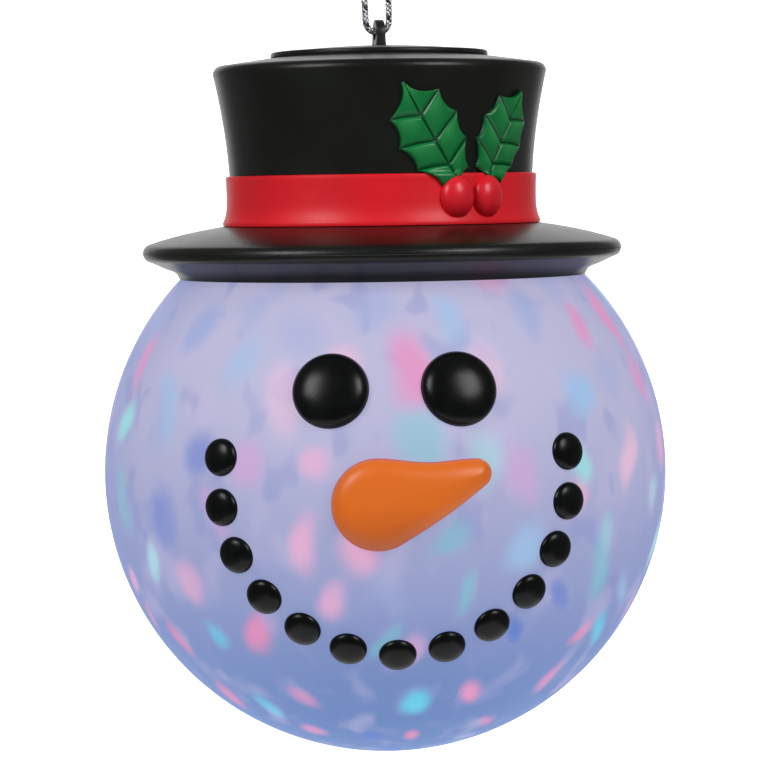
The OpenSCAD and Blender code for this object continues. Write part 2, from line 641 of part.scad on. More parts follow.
module lens_carrier() {
    gear_h0 = gear_h1 - gear_t;
    color("#e6e6e0") at_eye() difference() {
        union() {
            translate([0, 0, gear_h0]) rotate([0, 0, -90])
                linear_extrude(height = gear_t) gear_outline(lens_teeth, 0);
            translate([0, 0, gear_h0 - disc_t]) cylinder(r = lens_r - 1, h = disc_t + 0.1);
            ring(lens_in - 4 * fit, lens_in - 2.4, gear_h0 - disc_t - 2, gear_h0 - disc_t + 0.1);
            translate([0, 0, hub_h0]) cylinder(r = hub_r, h = chassis_h - free - hub_h0);
        }
        translate([0, 0, hub_h0 - 1]) cylinder(r = post_r + run, h = 40);
    }
}
module faceted_lens() {
    lens_top = gear_h1 - gear_t - disc_t - run;
    color("#e8f2fa") at_eye() translate([0, 0, lens_top]) difference() {
        sphere(r = lens_r, $fn = 12);
        sphere(r = lens_in);
        cylinder(r = 2 * lens_r, h = 2 * lens_r);
    }
}
module thrust_washer() {
    color("#d0c090") at_eye() ring(hub_r + 0.6, post_r + fit, hub_h0 - washer_t - 0.1, hub_h0 - 0.1);
}
led_board_t = 1.2;
led_board_r = 9.5;
module led_board() {
    color("#1e7a46") at_eye() difference() {
        union() {
            translate([0, 0, post_end - run - led_board_t]) cylinder(r = led_board_r, h = led_board_t);
            ring(led_board_r, post_r + 0.4, post_end - run - 0.2, hub_h0 - washer_t - 0.2);
        }
        for (s = [-1, 1]) translate([s * board_screw_x, 0, post_end - 3]) cylinder(r = 0.8, h = 4);
        translate([0, 0, post_end - 3]) cylinder(r = 1.6, h = 4);
    }
}
module board_screws() {
    color("silver") at_eye() for (s = [-1, 1]) translate([s * board_screw_x, 0, 0]) {
        translate([0, 0, post_end - 2.6]) cylinder(r = 1.4, h = 1.2);
        translate([0, 0, post_end - 1.9]) cylinder(r = 0.7, h = 7);
    }
}
module led(hue, angle) {
    color(hue) at_eye() rotate([0, 0, angle]) translate([7.2, 0, post_end - led_board_t - 2 * run])
        rotate([180, 0, 0]) union() {
        translate([-1.7, -1.7, 0]) cube([3.4, 3.4, 1]);
        translate([0, 0, 0.9]) intersection() {
            sphere(r = 1.5);
            cylinder(r = 3, h = 3);
        }
    }
}

// ---- Control board, switch and button
module control_board() {
    color("#1c6e40") at_eye() translate([-14, board_y - board_t, chassis_top + run])
        cube([28, board_t, button_h + 6 - chassis_top]);
}
switch_l = 3.6;
stem_gap = button_travel + 0.4;
module tact_switch() {
    color("#2a2a2e") at_eye() translate([0, board_y + run, button_h]) rotate([-90, 0, 0]) difference() {
        translate([-3, -3, 0]) cube([6, 6, switch_l]);
        translate([0, 0, switch_l - stem_gap]) cylinder(r = stem_r + run, h = stem_gap + 1);
    }
}
stem_y = board_y + run + switch_l;
stem_r = 1.7;
module switch_stem() {
    color("#c8b070") at_eye() translate([0, stem_y - 0.3, button_h]) rotate([-90, 0, 0])
        cylinder(r = stem_r, h = 1.5);
}
module power_button() {
    back = button_y - button_boss - fit;
    color("#202222") at_eye() translate([0, 0, button_h]) rotate([-90, 0, 0]) union() {
        translate([0, 0, back - 0.5]) cylinder(r = button_r, h = button_y + 1.7 - back);
        translate([0, 0, back - 1.2]) cylinder(r = button_r + 1.2, h = 1.2);
        translate([0, 0, stem_y + 1.2 + run]) cylinder(r = 1.9, h = back - stem_y - 1.7);
    }
}
wire_r = 0.6;
wire_sides = 6;
wire_side = [1, 0.1, 0.2];
solder_y = board_y - board_t - 0.05;
module internal_wires() {
    color("#b03030") at_eye() {
        tube([[-8, solder_y, chassis_top + 11], [-8, 38, chassis_top + 10], [-7, 30, chassis_top + 4],
            [-5, 18, chassis_top + 2], [-3, 8, chassis_top + 2.5], [-1, 2, chassis_top + 1.5],
            [-0.5, 0.5, chassis_top - 2], [0, 0, chassis_h - 8], [0, 0, post_end + 2], [0, 0, post_end - 1.4]],
            wire_r, wire_sides, wire_side);
        tube([[8, solder_y, chassis_top + 9], [8, 38, chassis_top + 8], [13, 26, chassis_top + 3],
            [18, 8, chassis_top + 2], [16, -8, chassis_top + 4], [12, -18, chassis_top + 12],
            [4, motor_y + 5, chassis_top + 19.5], [3.5, motor_y + 4.6, motor_h0 + motor_h + 0.05]],
            wire_r, wire_sides, wire_side);
        tube([[0, solder_y, chassis_top + 13], [0, 38, chassis_top + 14], [-2, 33, chassis_top + 17],
            [-2, 30, cup_base - 2], [-2, 29.6, cup_base - 0.05]], wire_r, wire_sides, wire_side);
    }
}

hat_crown();
hat_brim();
hat_band();
brim_underside();
holly_leaf(leaf_left_foot, leaf_left_tip, leaf_left_az);  // holly_leaf_left
holly_leaf(leaf_right_foot, leaf_right_tip, leaf_right_az);  // holly_leaf_right
holly_berry(berry_left_az);  // holly_berry_left
holly_berry(berry_right_az);  // holly_berry_right
cap();
cap_gasket();
hanging_cord();
cord_knot();
globe();
face_eye(-1);  // eye_left
face_eye(1);  // eye_right
nose();
for (i = [0:coal_count - 1]) coal(i);
globe_seal();
chassis();
neck_screws();
brim_screws();
battery_bay();
bay_screws();
battery(0);  // battery_1
battery(1);  // battery_2
battery(2);  // battery_3
battery_springs();
battery_contacts();
control_board();
tact_switch();
switch_stem();
power_button();
motor();
motor_shaft();
motor_bracket();
motor_screws();
motor_pinion();
lens_carrier();
faceted_lens();
thrust_washer();
led_board();
led("red", 90);  // led_red
led("lime", 210);  // led_green
led("blue", 330);  // led_blue
board_screws();
internal_wires();
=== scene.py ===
"""The visual model of a lighted snowman-head ornament that hangs from a metallic cord.

A milky globe with a raised face glows from inside. It wears a black moulded top hat with a red band and holly, and
the hat's screw cap carries the hanging eye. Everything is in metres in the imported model's own frame: the origin is the
hanging eye, +Z is up and the face looks towards -Y.
"""

import logging
import math
import random
from collections.abc import Callable, Iterable, Sequence
from dataclasses import dataclass, field
from enum import Enum

import bmesh
import bpy
from bmesh.types import BMesh, BMVert
from mathutils import Matrix, Vector, noise


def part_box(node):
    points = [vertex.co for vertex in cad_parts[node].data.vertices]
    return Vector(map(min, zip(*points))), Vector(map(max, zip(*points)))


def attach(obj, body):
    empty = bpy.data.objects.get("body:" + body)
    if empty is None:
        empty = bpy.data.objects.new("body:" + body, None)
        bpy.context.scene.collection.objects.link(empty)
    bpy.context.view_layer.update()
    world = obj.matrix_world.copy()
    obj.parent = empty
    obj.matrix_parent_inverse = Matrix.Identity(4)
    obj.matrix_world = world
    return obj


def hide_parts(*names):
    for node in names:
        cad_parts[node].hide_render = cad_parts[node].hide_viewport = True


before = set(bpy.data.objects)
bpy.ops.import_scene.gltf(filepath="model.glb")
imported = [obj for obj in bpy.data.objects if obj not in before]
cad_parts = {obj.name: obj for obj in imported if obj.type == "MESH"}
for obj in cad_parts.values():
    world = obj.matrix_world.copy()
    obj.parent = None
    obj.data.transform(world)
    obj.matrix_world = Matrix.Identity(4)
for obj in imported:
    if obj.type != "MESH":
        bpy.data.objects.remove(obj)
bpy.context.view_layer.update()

log = logging.getLogger("snowman_head")

MM = 0.001
TAU = 2 * math.pi
Colour = tuple[float, float, float]
Profile = list[tuple[float, float]]


class Body(Enum):
    """The CAD bodies that pieces ride on."""

    LAMP = "lamp"
    CAP = "cap"
    SEAL = "seal"
    LENS = "lens"
    PINION = "pinion"
    BUTTON = "button"


def srgb(red: float, green: float, blue: float) -> Colour:
    """A linear colour from an sRGB colour whose parts run from 0 to 255."""
    return tuple(((c / 255 + 0.055) / 1.055) ** 2.4 if c > 10 else c / 255 / 12.92 for c in (red, green, blue))


# ---------------------------------------------------------------------------------------------------------------------
# Shader building


class Socket:
    """The output of a shader node. Arithmetic on it adds Math nodes."""

    def __init__(self, shader: "Shader", out: bpy.types.NodeSocket) -> None:
        """Wraps a node's output."""
        self.shader = shader
        self.out = out

    def _math(self, operation: str, *values: "Socket | float") -> "Socket":
        """One Math node.

        Args:
            operation: the node's operation.
            values: its inputs, in order.

        Returns:
            The result's socket.
        """
        return self.shader.node("ShaderNodeMath", {"operation": operation}, dict(enumerate(values)))

    def __add__(self, other: "Socket | float") -> "Socket":
        """Sum."""
        return self._math("ADD", self, other)

    def __sub__(self, other: "Socket | float") -> "Socket":
        """Difference."""
        return self._math("SUBTRACT", self, other)

    def __rsub__(self, other: float) -> "Socket":
        """Difference from a number."""
        return self._math("SUBTRACT", other, self)

    def __mul__(self, other: "Socket | float") -> "Socket":
        """Product."""
        return self._math("MULTIPLY", self, other)

    def __truediv__(self, other: "Socket | float") -> "Socket":
        """Quotient."""
        return self._math("DIVIDE", self, other)

    def __pow__(self, other: float) -> "Socket":
        """Power."""
        return self._math("POWER", self, other)

    __radd__ = __add__
    __rmul__ = __mul__

    def magnitude(self) -> "Socket":
        """The value without its sign."""
        return self._math("ABSOLUTE", self)

    def ramp(self, low: float, high: float, start: float = 0.0, end: float = 1.0) -> "Socket":
        """A smooth step.

        Args:
            low: the value at which the step starts.
            high: the value at which it ends.
            start: the result before the step.
            end: the result after it.

        Returns:
            The step's socket.
        """
        settings = {"interpolation_type": "SMOOTHSTEP", "clamp": False}
        return self.shader.node("ShaderNodeMapRange", settings, {0: self, 1: low, 2: high, 3: start, 4: end})


class Shader:
    """A material made of nodes around one principled shader."""

    def __init__(self, name: str) -> None:
        """Starts an empty node material of that name."""
        self.material = bpy.data.materials.new(name)
        self.material.use_nodes = True
        self.tree = self.material.node_tree
        self.surface = self.tree.nodes["Principled BSDF"]

    def node(
        self,
        kind: str,
        settings: dict[str, object] | None = None,
        inputs: dict[int | str, object] | None = None,
        out: int | str = 0,
    ) -> Socket:
        """Adds one node.

        Args:
            kind: the node's type.
            settings: its properties, which are set before its inputs; "stops" sets a ramp's places and colours.
            inputs: values or sockets for its inputs, by name or number.
            out: the output that is wanted.

        Returns:
            That output's socket.
        """
        made = self.tree.nodes.new(kind)
        for key, value in (settings or {}).items():
            if key == "stops":
                self._set_stops(made.color_ramp, value)
            else:
                setattr(made, key, value)
        for key, value in (inputs or {}).items():
            self._set(made.inputs[key], value)
        return Socket(self, made.outputs[out])

    def _set(self, socket: bpy.types.NodeSocket, value: object) -> None:
        """Links a socket, or sets its value."""
        if isinstance(value, Socket):
            self.tree.links.new(value.out, socket)
        elif isinstance(value, tuple) and socket.type == "RGBA":
            socket.default_value = (*value[:3], 1.0)
        else:
            socket.default_value = value

    @staticmethod
    def _set_stops(ramp: bpy.types.ColorRamp, stops: Sequence[tuple[float, Colour]]) -> None:
        """Sets a ramp's stops."""
        while len(ramp.elements) < len(stops):
            ramp.elements.new(0.5)
        for element, (place, colour) in zip(ramp.elements, stops, strict=True):
            element.position = place
            element.color = (*colour, 1.0)

    def place(self) -> Socket:
        """The point on the surface in the object's own coordinates."""
        return self.node("ShaderNodeTexCoord", out="Object")

    def axis(self, vector: Socket, index: int) -> Socket:
        """One coordinate of a vector."""
        return self.node("ShaderNodeSeparateXYZ", inputs={0: vector}, out=index)

    def attribute(self, name: str) -> Socket:
        """A number that the mesh carries at its points."""
        return self.node("ShaderNodeAttribute", {"attribute_name": name}, out="Fac")

    def noise(self, where: Socket, scale: float, detail: float = 3.0, roughness: float = 0.5) -> Socket:
        """Smooth noise from 0 to 1, with that many features to the unit."""
        inputs = {"Vector": where, "Scale": scale, "Detail": detail, "Roughness": roughness}
        return self.node("ShaderNodeTexNoise", inputs=inputs)

    def mix(self, factor: Socket | float, low: object, high: object, blend: str = "MIX") -> Socket:
        """A mix of two colours."""
        settings = {"data_type": "RGBA", "blend_type": blend}
        return self.node("ShaderNodeMix", settings, {0: factor, 6: low, 7: high}, out=2)

    def bump(self, height: Socket, depth: float, normal: Socket | None = None) -> Socket:
        """A normal from a height, where depth is the height's real size in metres."""
        inputs = {"Height": height, "Strength": 1.0, "Distance": depth}
        if normal is not None:
            inputs["Normal"] = normal
        return self.node("ShaderNodeBump", inputs=inputs)

    def dress(self, **sockets: object) -> bpy.types.Material:
        """Sets the principled shader's sockets.

        Args:
            sockets: values or sockets by name, with an underscore for each space.

        Returns:
            The finished material.
        """
        for name, value in sockets.items():
            self._set(self.surface.inputs[name.replace("_", " ")], value)
        return self.material


# ---------------------------------------------------------------------------------------------------------------------
# Finishes


@dataclass(frozen=True)
class MouldedPlastic:
    """Opaque moulded plastic with a fine even grain and slight unevenness of colour and gloss."""

    name: str
    colour: Colour
    roughness: float = 0.42
    grain: float = 900.0
    grain_depth: float = 0.00003
    blotch: float = 0.12
    specular: float = 0.3

    def make(self) -> bpy.types.Material:
        """Builds the material."""
        shader = Shader(self.name)
        place = shader.place()
        cloudy = shader.noise(place, 38.0, 4.0)
        grain = shader.noise(place, self.grain, 2.0, 0.6)
        darker = tuple(c * (1 - self.blotch) for c in self.colour)
        lighter = tuple(min(1.0, c * (1 + self.blotch)) for c in self.colour)
        return shader.dress(
            Base_Color=shader.mix(cloudy.ramp(0.3, 0.7), darker, lighter),
            Roughness=cloudy * 0.10 + grain * 0.08 + (self.roughness - 0.09),
            Specular_IOR_Level=self.specular,
            Normal=shader.bump(grain, self.grain_depth),
        )


@dataclass(frozen=True)
class CarrotPlastic:
    """Painted plastic whose colour darkens from its top to its foot as painted shade, with a thin line of another
    colour at its edge that is a painted glow of light leaking round it.
    """

    name: str
    shaded_foot_colour: Colour
    lit_top_colour: Colour
    painted_edge_glow: Colour
    low: float
    high: float
    roughness: float = 0.38

    def make(self) -> bpy.types.Material:
        """Builds the material."""
        shader = Shader(self.name)
        place = shader.place()
        grain = shader.noise(place, 700.0, 2.0, 0.6)
        waves = shader.noise(place, 60.0, 2.0)
        # Painted shade: the colour runs with height from the darker shaded colour at the foot to the lighter lit colour
        # at the top.
        lift = shader.axis(place, 2) + waves * 0.006
        body = shader.mix(lift.ramp(self.low, self.high), self.shaded_foot_colour, self.lit_top_colour)
        return shader.dress(
            # Painted light: near the outline the colour turns to the edge colour, which is the glow leaking round the
            # nose's edge.
            Base_Color=shader.mix(shader.attribute("inset").ramp(0.55, 0.1), body, self.painted_edge_glow),
            Roughness=grain * 0.1 + (self.roughness - 0.05),
            Specular_IOR_Level=0.35,
            Normal=shader.bump(grain, 0.00002),
        )


@dataclass(frozen=True)
class LeafPlastic:
    """Green moulded plastic with painted shade that darkens its vein grooves and painted highlights that lighten the
    crests of its puffed panels.
    """

    name: str
    painted_groove_shade: Colour
    panel: Colour
    painted_crest_highlight: Colour

    def make(self) -> bpy.types.Material:
        """Builds the material."""
        shader = Shader(self.name)
        place = shader.place()
        puff = shader.attribute("puff")
        grain = shader.noise(place, 800.0, 2.0, 0.6)
        cloudy = shader.noise(place, 120.0, 3.0)
        # Painted shade: the colour darkens towards the sunk veins, where the panels' puff falls to nothing.
        body = shader.mix(puff.ramp(0.02, 0.45), self.painted_groove_shade, self.panel)
        # Painted highlight: the highest parts of the puffed panels turn to the lighter crest colour.
        painted_crest_highlight = shader.mix((puff + cloudy * 0.25).ramp(0.85, 1.25), body, self.painted_crest_highlight)
        return shader.dress(
            Base_Color=painted_crest_highlight,
            Roughness=cloudy * 0.1 + grain * 0.08 + 0.24,
            Specular_IOR_Level=0.35,
            Normal=shader.bump(grain, 0.00002),
        )


@dataclass(frozen=True)
class GlossCoal:
    """Black gloss plastic with a faint haze of fine moulding marks."""

    name: str

    def make(self) -> bpy.types.Material:
        """Builds the material."""
        shader = Shader(self.name)
        place = shader.place()
        haze = shader.noise(place, 160.0, 4.0)
        grain = shader.noise(place, 1500.0, 2.0, 0.6)
        return shader.dress(
            Base_Color=shader.mix(haze.ramp(0.35, 0.7), srgb(2, 3, 3), srgb(6, 8, 8)),
            Roughness=haze * 0.08 + grain * 0.06 + 0.2,
            Specular_IOR_Level=0.18,
            Normal=shader.bump(grain, 0.00001),
        )


@dataclass(frozen=True)
class BraidedMetal:
    """Metallised yarn, bright silver or black by the strand."""

    name: str

    def make(self) -> bpy.types.Material:
        """Builds the material."""
        shader = Shader(self.name)
        tracer = shader.attribute("tracer")
        place = shader.place()
        lay = shader.noise(place, 2600.0, 2.0, 0.7)
        silver = shader.mix(lay.ramp(0.3, 0.75), srgb(150, 148, 156), srgb(236, 236, 242))
        return shader.dress(
            Base_Color=shader.mix(tracer, silver, srgb(10, 10, 12)),
            Metallic=0.75 - tracer * 0.65,
            Roughness=lay * 0.2 + 0.22,
            Normal=shader.bump(lay, 0.00005),
        )


@dataclass(frozen=True)
class BareMetal:
    """Plated or ground metal with fine drawn marks."""

    name: str
    colour: Colour
    roughness: float = 0.3

    def make(self) -> bpy.types.Material:
        """Builds the material."""
        shader = Shader(self.name)
        place = shader.place()
        stretched = shader.node("ShaderNodeMapping", inputs={"Vector": place, "Scale": (1.0, 1.0, 14.0)})
        marks = shader.noise(stretched, 420.0, 3.0, 0.6)
        cloudy = shader.noise(place, 60.0, 3.0)
        darker = tuple(c * 0.8 for c in self.colour)
        return shader.dress(
            Base_Color=shader.mix(cloudy.ramp(0.35, 0.65), darker, self.colour),
            Metallic=1.0,
            Roughness=marks * 0.2 + (self.roughness - 0.1),
            Normal=shader.bump(marks, 0.00001),
        )


@dataclass(frozen=True)
class CircuitBoard:
    """Green solder mask over copper tracks, with bare pads."""

    name: str

    def make(self) -> bpy.types.Material:
        """Builds the material."""
        shader = Shader(self.name)
        place = shader.place()
        tracks = shader.node(
            "ShaderNodeTexVoronoi",
            {"distance": "MANHATTAN", "feature": "F1"},
            {"Vector": place, "Scale": 260.0, "Randomness": 0.35},
            out="Distance",
        )
        line = tracks.ramp(0.30, 0.36) * tracks.ramp(0.50, 0.44)
        pad = tracks.ramp(0.14, 0.10)
        mask = shader.mix(line, srgb(18, 92, 50), srgb(44, 134, 74))
        return shader.dress(
            Base_Color=shader.mix(pad, mask, srgb(205, 200, 170)),
            Metallic=pad * 0.8,
            Roughness=0.42 - line * 0.12,
            Normal=shader.bump(line, 0.00004),
        )


@dataclass(frozen=True)
class ClearPlastic:
    """Clear faceted plastic."""

    name: str

    def make(self) -> bpy.types.Material:
        """Builds the material."""
        shader = Shader(self.name)
        flow = shader.noise(shader.place(), 90.0, 3.0)
        return shader.dress(
            Base_Color=shader.mix(flow.ramp(0.3, 0.7), srgb(214, 232, 244), srgb(240, 248, 252)),
            Roughness=flow * 0.08 + 0.04,
            Alpha=flow * 0.12 + 0.3,
            Coat_Weight=0.6,
        )


@dataclass(frozen=True)
class LitChip:
    """A lamp chip that glows in its own colour."""

    name: str
    colour: Colour

    def make(self) -> bpy.types.Material:
        """Builds the material."""
        shader = Shader(self.name)
        spread = shader.noise(shader.place(), 900.0, 2.0)
        pale = tuple(0.5 + 0.5 * c for c in self.colour)
        return shader.dress(
            Base_Color=shader.mix(spread.ramp(0.3, 0.7), self.colour, pale),
            Roughness=0.25,
            Emission_Color=shader.mix(spread.ramp(0.3, 0.7), self.colour, pale),
            Emission_Strength=3.0,
        )


class Tint(Enum):
    """The colours of the light that the lens throws."""

    MILK = srgb(216, 206, 238)
    PINK = srgb(232, 190, 218)
    BLUSH = srgb(242, 176, 212)
    ROSE = srgb(226, 148, 196)
    CORAL = srgb(246, 138, 182)
    MAUVE = srgb(204, 166, 214)
    VIOLET = srgb(144, 132, 202)
    ICE = srgb(178, 228, 240)
    MINT = srgb(158, 220, 226)
    TEAL = srgb(124, 200, 214)
    SEA = srgb(70, 176, 206)
    CYAN = srgb(98, 208, 238)
    AZURE = srgb(100, 184, 238)
    SKY = srgb(158, 192, 230)
    PERIWINKLE = srgb(162, 174, 218)
    BLUE = srgb(118, 138, 208)
    DEEP = srgb(78, 120, 204)


@dataclass(frozen=True)
class LightSpot:
    """A soft oval patch of coloured light on the globe.

    The place is an azimuth from the middle of the face towards +X and a lift above the globe's middle. The sizes are
    the patch's half width and half length, and the lean turns its length from the meridian towards +X. All of these
    are in degrees.
    """

    az: float
    lift: float
    wide: float
    long: float
    lean: float
    tint: Tint
    strength: float = 0.8


@dataclass(frozen=True)
class Facets:
    """The rings of facets round the lens, each of which throws one patch of light.

    The patches drift off their even places by a seeded draw. High on the globe they are pale and long, and low on it
    they are small and bright, because the facets there throw from nearer.
    """

    rings: int = 10
    around: int = 25
    lowest: float = -72.0
    highest: float = 48.0
    drift: float = 0.38
    seed: int = 11
    high: tuple[Tint, ...] = (Tint.PERIWINKLE, Tint.PINK, Tint.SKY, Tint.PERIWINKLE, Tint.PINK, Tint.ROSE, Tint.MAUVE)
    middle: tuple[Tint, ...] = (
        Tint.PINK, Tint.ICE, Tint.PERIWINKLE, Tint.TEAL, Tint.BLUSH, Tint.SKY, Tint.MINT, Tint.MAUVE, Tint.BLUE,
    )
    low: tuple[Tint, ...] = (Tint.CYAN, Tint.ROSE, Tint.DEEP, Tint.CORAL, Tint.SEA, Tint.BLUE, Tint.TEAL, Tint.MAUVE)

    def spots(self) -> list[LightSpot]:
        """The patches, ring by ring from the lowest."""
        draw = random.Random(self.seed)
        spots = []
        for ring in range(self.rings):
            rise = ring / (self.rings - 1)
            lift = self.lowest + (self.highest - self.lowest) * rise
            count = round(self.around * math.cos(math.radians(lift)))
            tints = self.low if rise < 0.36 else self.middle if rise < 0.74 else self.high
            for k in range(count):
                step = 360 / count
                narrow = 2.0 + 3.0 * rise
                spots.append(LightSpot(
                    az=step * (k + ring % 2 / 2 + draw.uniform(-self.drift, self.drift)),
                    lift=lift + draw.uniform(-5.0, 5.0),
                    wide=draw.uniform(0.5, 1.0) * narrow,
                    long=draw.uniform(0.9, 1.7) * narrow,
                    lean=draw.uniform(-25.0, 25.0) + (1 - rise) * draw.uniform(-50.0, 50.0),
                    tint=draw.choice(tints),
                    strength=draw.uniform(0.45, 1.0),
                ))
        return spots


@dataclass(frozen=True)
class Beams:
    """The patches of light that the lens throws, laid over one another in order."""

    spots: Sequence[LightSpot]
    spread: float = 1.5
    swirl: float = 0.035
    swirl_scale: float = 6.0
    core: float = 0.25
    gain: float = 1.12
    seed: int = 7

    def lay(self, mesh: BMesh, centre: Vector) -> None:
        """Gives each point of a globe the colour and the cover of the light on it, as the layer "beams".

        Args:
            mesh: the globe, in place.
            centre: its centre.
        """
        noise.seed_set(self.seed)
        layer = mesh.verts.layers.float_color.new("beams")
        placed = [(spot, *self._frame(spot)) for spot in self.spots]
        for vert in mesh.verts:
            way = (vert.co - centre).normalized()
            way += noise.noise_vector(way * self.swirl_scale) * self.swirl
            light, cover = Vector((0.0, 0.0, 0.0)), 0.0
            for spot, out, inward, near in placed:
                if out.dot(way) < near:
                    continue
                local = inward @ (way - out)
                local.x /= math.radians(spot.wide) * self.spread
                local.y /= math.radians(spot.long) * self.spread
                inside = min(1.0, max(0.0, (1.0 - local.length) / (1.0 - self.core)))
                share = spot.strength * inside**2 * (3 - 2 * inside)
                light = light * (1 - share) + Vector(spot.tint.value) * (share * self.gain)
                cover = cover * (1 - share) + share
            vert[layer] = (*(light / cover if cover > 0 else Tint.MILK.value), cover)

    def _frame(self, spot: LightSpot) -> tuple[Vector, Matrix, float]:
        """Where a patch lies.

        Args:
            spot: the patch.

        Returns:
            The way out to it, the turn into its own frame, and the cosine past which it has no light.
        """
        turn = (
            Matrix.Rotation(math.radians(spot.az), 3, "Z")
            @ Matrix.Rotation(math.radians(90 - spot.lift), 3, "X")
            @ Matrix.Rotation(math.radians(-spot.lean), 3, "Z")
        )
        reach = math.radians(max(spot.wide, spot.long)) * self.spread
        return turn @ Vector((0, 0, 1)), turn.transposed(), math.cos(reach) * (1 - 2 * self.swirl)


@dataclass(frozen=True)
class GlowingGlobe:
    """Milky plastic that turning coloured beams light from inside; that light is painted on as emission, and a dimmed
    copy of it is painted into the base colour.
    """

    name: str
    centre: Vector
    glow: float = 0.64
    swirl: float = 0.07

    def make(self) -> bpy.types.Material:
        """Builds the material."""
        shader = Shader(self.name)
        place = shader.place()
        centred = shader.node("ShaderNodeVectorMath", {"operation": "SUBTRACT"}, {0: place, 1: tuple(self.centre)})
        unit = shader.node("ShaderNodeVectorMath", {"operation": "NORMALIZE"}, {0: centred})
        swirl = shader.node("ShaderNodeTexNoise", inputs={"Vector": unit, "Scale": 6.0, "Detail": 2.0}, out="Color")
        swirl = shader.node("ShaderNodeVectorMath", {"operation": "SUBTRACT"}, {0: swirl, 1: (0.5, 0.5, 0.5)})
        swirl = shader.node("ShaderNodeVectorMath", {"operation": "SCALE"}, {0: swirl, "Scale": self.swirl})
        warped = shader.node("ShaderNodeVectorMath", {"operation": "ADD"}, {0: unit, 1: swirl})
        beams = {"attribute_name": "beams"}
        colour = shader.mix(
            shader.node("ShaderNodeAttribute", beams, out="Alpha"),
            self._ground(shader, unit, warped),
            shader.node("ShaderNodeAttribute", beams, out="Color"),
        )
        grain = shader.noise(place, 900.0, 2.0, 0.6)
        return shader.dress(
            # Painted light: the base colour is a dimmed copy of the glow's colour.
            Base_Color=shader.mix(0.25, (0.02, 0.02, 0.03), colour),
            Roughness=grain * 0.1 + 0.5,
            Specular_IOR_Level=0.2,
            # Painted light: the beams' light on the shell is emission in the glow's colour.
            Emission_Color=colour,
            Emission_Strength=self.glow,
            Normal=shader.bump(grain, 0.00002),
        )

    def _ground(self, shader: Shader, unit: Socket, warped: Socket) -> Socket:
        """The even painted glow with its faint blobs, before the placed patches; it is paler towards the top, bluer
        towards the bottom, and bluer towards the sides and back as painted edge shade.

        Args:
            shader: the material being made.
            unit: the direction from the globe's centre.
            warped: the same, swirled.

        Returns:
            The colour's socket.
        """
        height = shader.axis(unit, 2)
        front = shader.axis(unit, 1) * -1.0
        # Painted edge shade: the glow turns bluer away from the front.
        rim = 1.0 - front.ramp(0.0, 0.6)
        squeezed = shader.node("ShaderNodeMapping", inputs={"Vector": warped, "Scale": (1.0, 1.0, 0.6)})
        colour = shader.mix(height.ramp(-0.7, 0.4), srgb(136, 154, 208), srgb(195, 193, 226))
        colour = shader.mix(height.ramp(-0.3, -0.95) * 0.8, colour, srgb(78, 126, 194))
        colour = shader.mix(rim * 0.55, colour, srgb(100, 134, 208))
        pale = shader.noise(squeezed, 5.5, 1.5).ramp(0.52, 0.72)
        colour = shader.mix(pale * 0.4, colour, srgb(206, 196, 234))
        deep = shader.noise(squeezed, 8.5, 1.0).ramp(0.56, 0.70)
        colour = shader.mix(deep * 0.4, colour, srgb(140, 152, 212))
        rear = front.ramp(-0.05, -0.45)
        teal = shader.noise(squeezed, 4.2, 1.0).ramp(0.52, 0.70)
        colour = shader.mix(teal * rear * 0.8, colour, Tint.TEAL.value)
        rose = shader.noise(squeezed, 6.1, 1.0).ramp(0.54, 0.68)
        return shader.mix(rose * rear * 0.7, colour, Tint.ROSE.value)


# ---------------------------------------------------------------------------------------------------------------------
# Mesh building


def fillet(corners: Sequence[tuple[float, float, float]], arc: int = 6) -> Profile:
    """Rounds the corners of a closed outline.

    Args:
        corners: each corner as (radius, height, rounding), in the order in which they are met.
        arc: how many points each rounded corner gets, less one.

    Returns:
        The outline's points.
    """
    points: Profile = []
    count = len(corners)
    for i, (x, z, rounding) in enumerate(corners):
        here = Vector((x, z))
        if rounding <= 0:
            points.append((x, z))
            continue
        before = (Vector(corners[i - 1][:2]) - here).normalized()
        after = (Vector(corners[(i + 1) % count][:2]) - here).normalized()
        half = before.angle(after) / 2
        reach = rounding / math.tan(half)
        middle = here + (before + after).normalized() * (rounding / math.sin(half))
        start, end = here + before * reach - middle, here + after * reach - middle
        sweep = start.angle_signed(end)
        for k in range(arc + 1):
            turned = start.copy()
            turned.rotate(Matrix.Rotation(-sweep * k / arc, 2))
            points.append(tuple(middle + turned))
    return points


def lathe(profile: Profile, steps: int = 192) -> BMesh:
    """Turns a closed outline about the vertical axis.

    Args:
        profile: the outline as (radius, height) points.
        steps: how many facets go round.

    Returns:
        The turned shape.
    """
    mesh = bmesh.new()
    points = [mesh.verts.new((r, 0.0, z)) for r, z in profile]
    edges = [mesh.edges.new((a, b)) for a, b in zip(points, [*points[1:], points[0]], strict=True)]
    bmesh.ops.spin(
        mesh, geom=[*points, *edges], cent=(0, 0, 0), axis=(0, 0, 1), dvec=(0, 0, 0), angle=TAU, steps=steps,
        use_merge=True, use_duplicate=False,
    )
    return mesh


def merge(target: BMesh, *others: BMesh) -> BMesh:
    """Joins shapes into the first one.

    Args:
        target: the shape that is kept.
        others: the shapes that are added to it and then freed.

    Returns:
        The first shape.
    """
    for other in others:
        scratch = bpy.data.meshes.new("scratch")
        other.to_mesh(scratch)
        other.free()
        target.from_mesh(scratch)
        bpy.data.meshes.remove(scratch)
    return target


def place_mesh(mesh: BMesh, matrix: Matrix) -> BMesh:
    """Moves a shape by a matrix and returns it."""
    bmesh.ops.transform(mesh, matrix=matrix, verts=mesh.verts)
    return mesh


def shape_by(mesh: BMesh, move: Callable[[Vector], Vector]) -> BMesh:
    """Moves every point of a shape by a function and returns the shape."""
    for vert in mesh.verts:
        vert.co = move(vert.co)
    return mesh


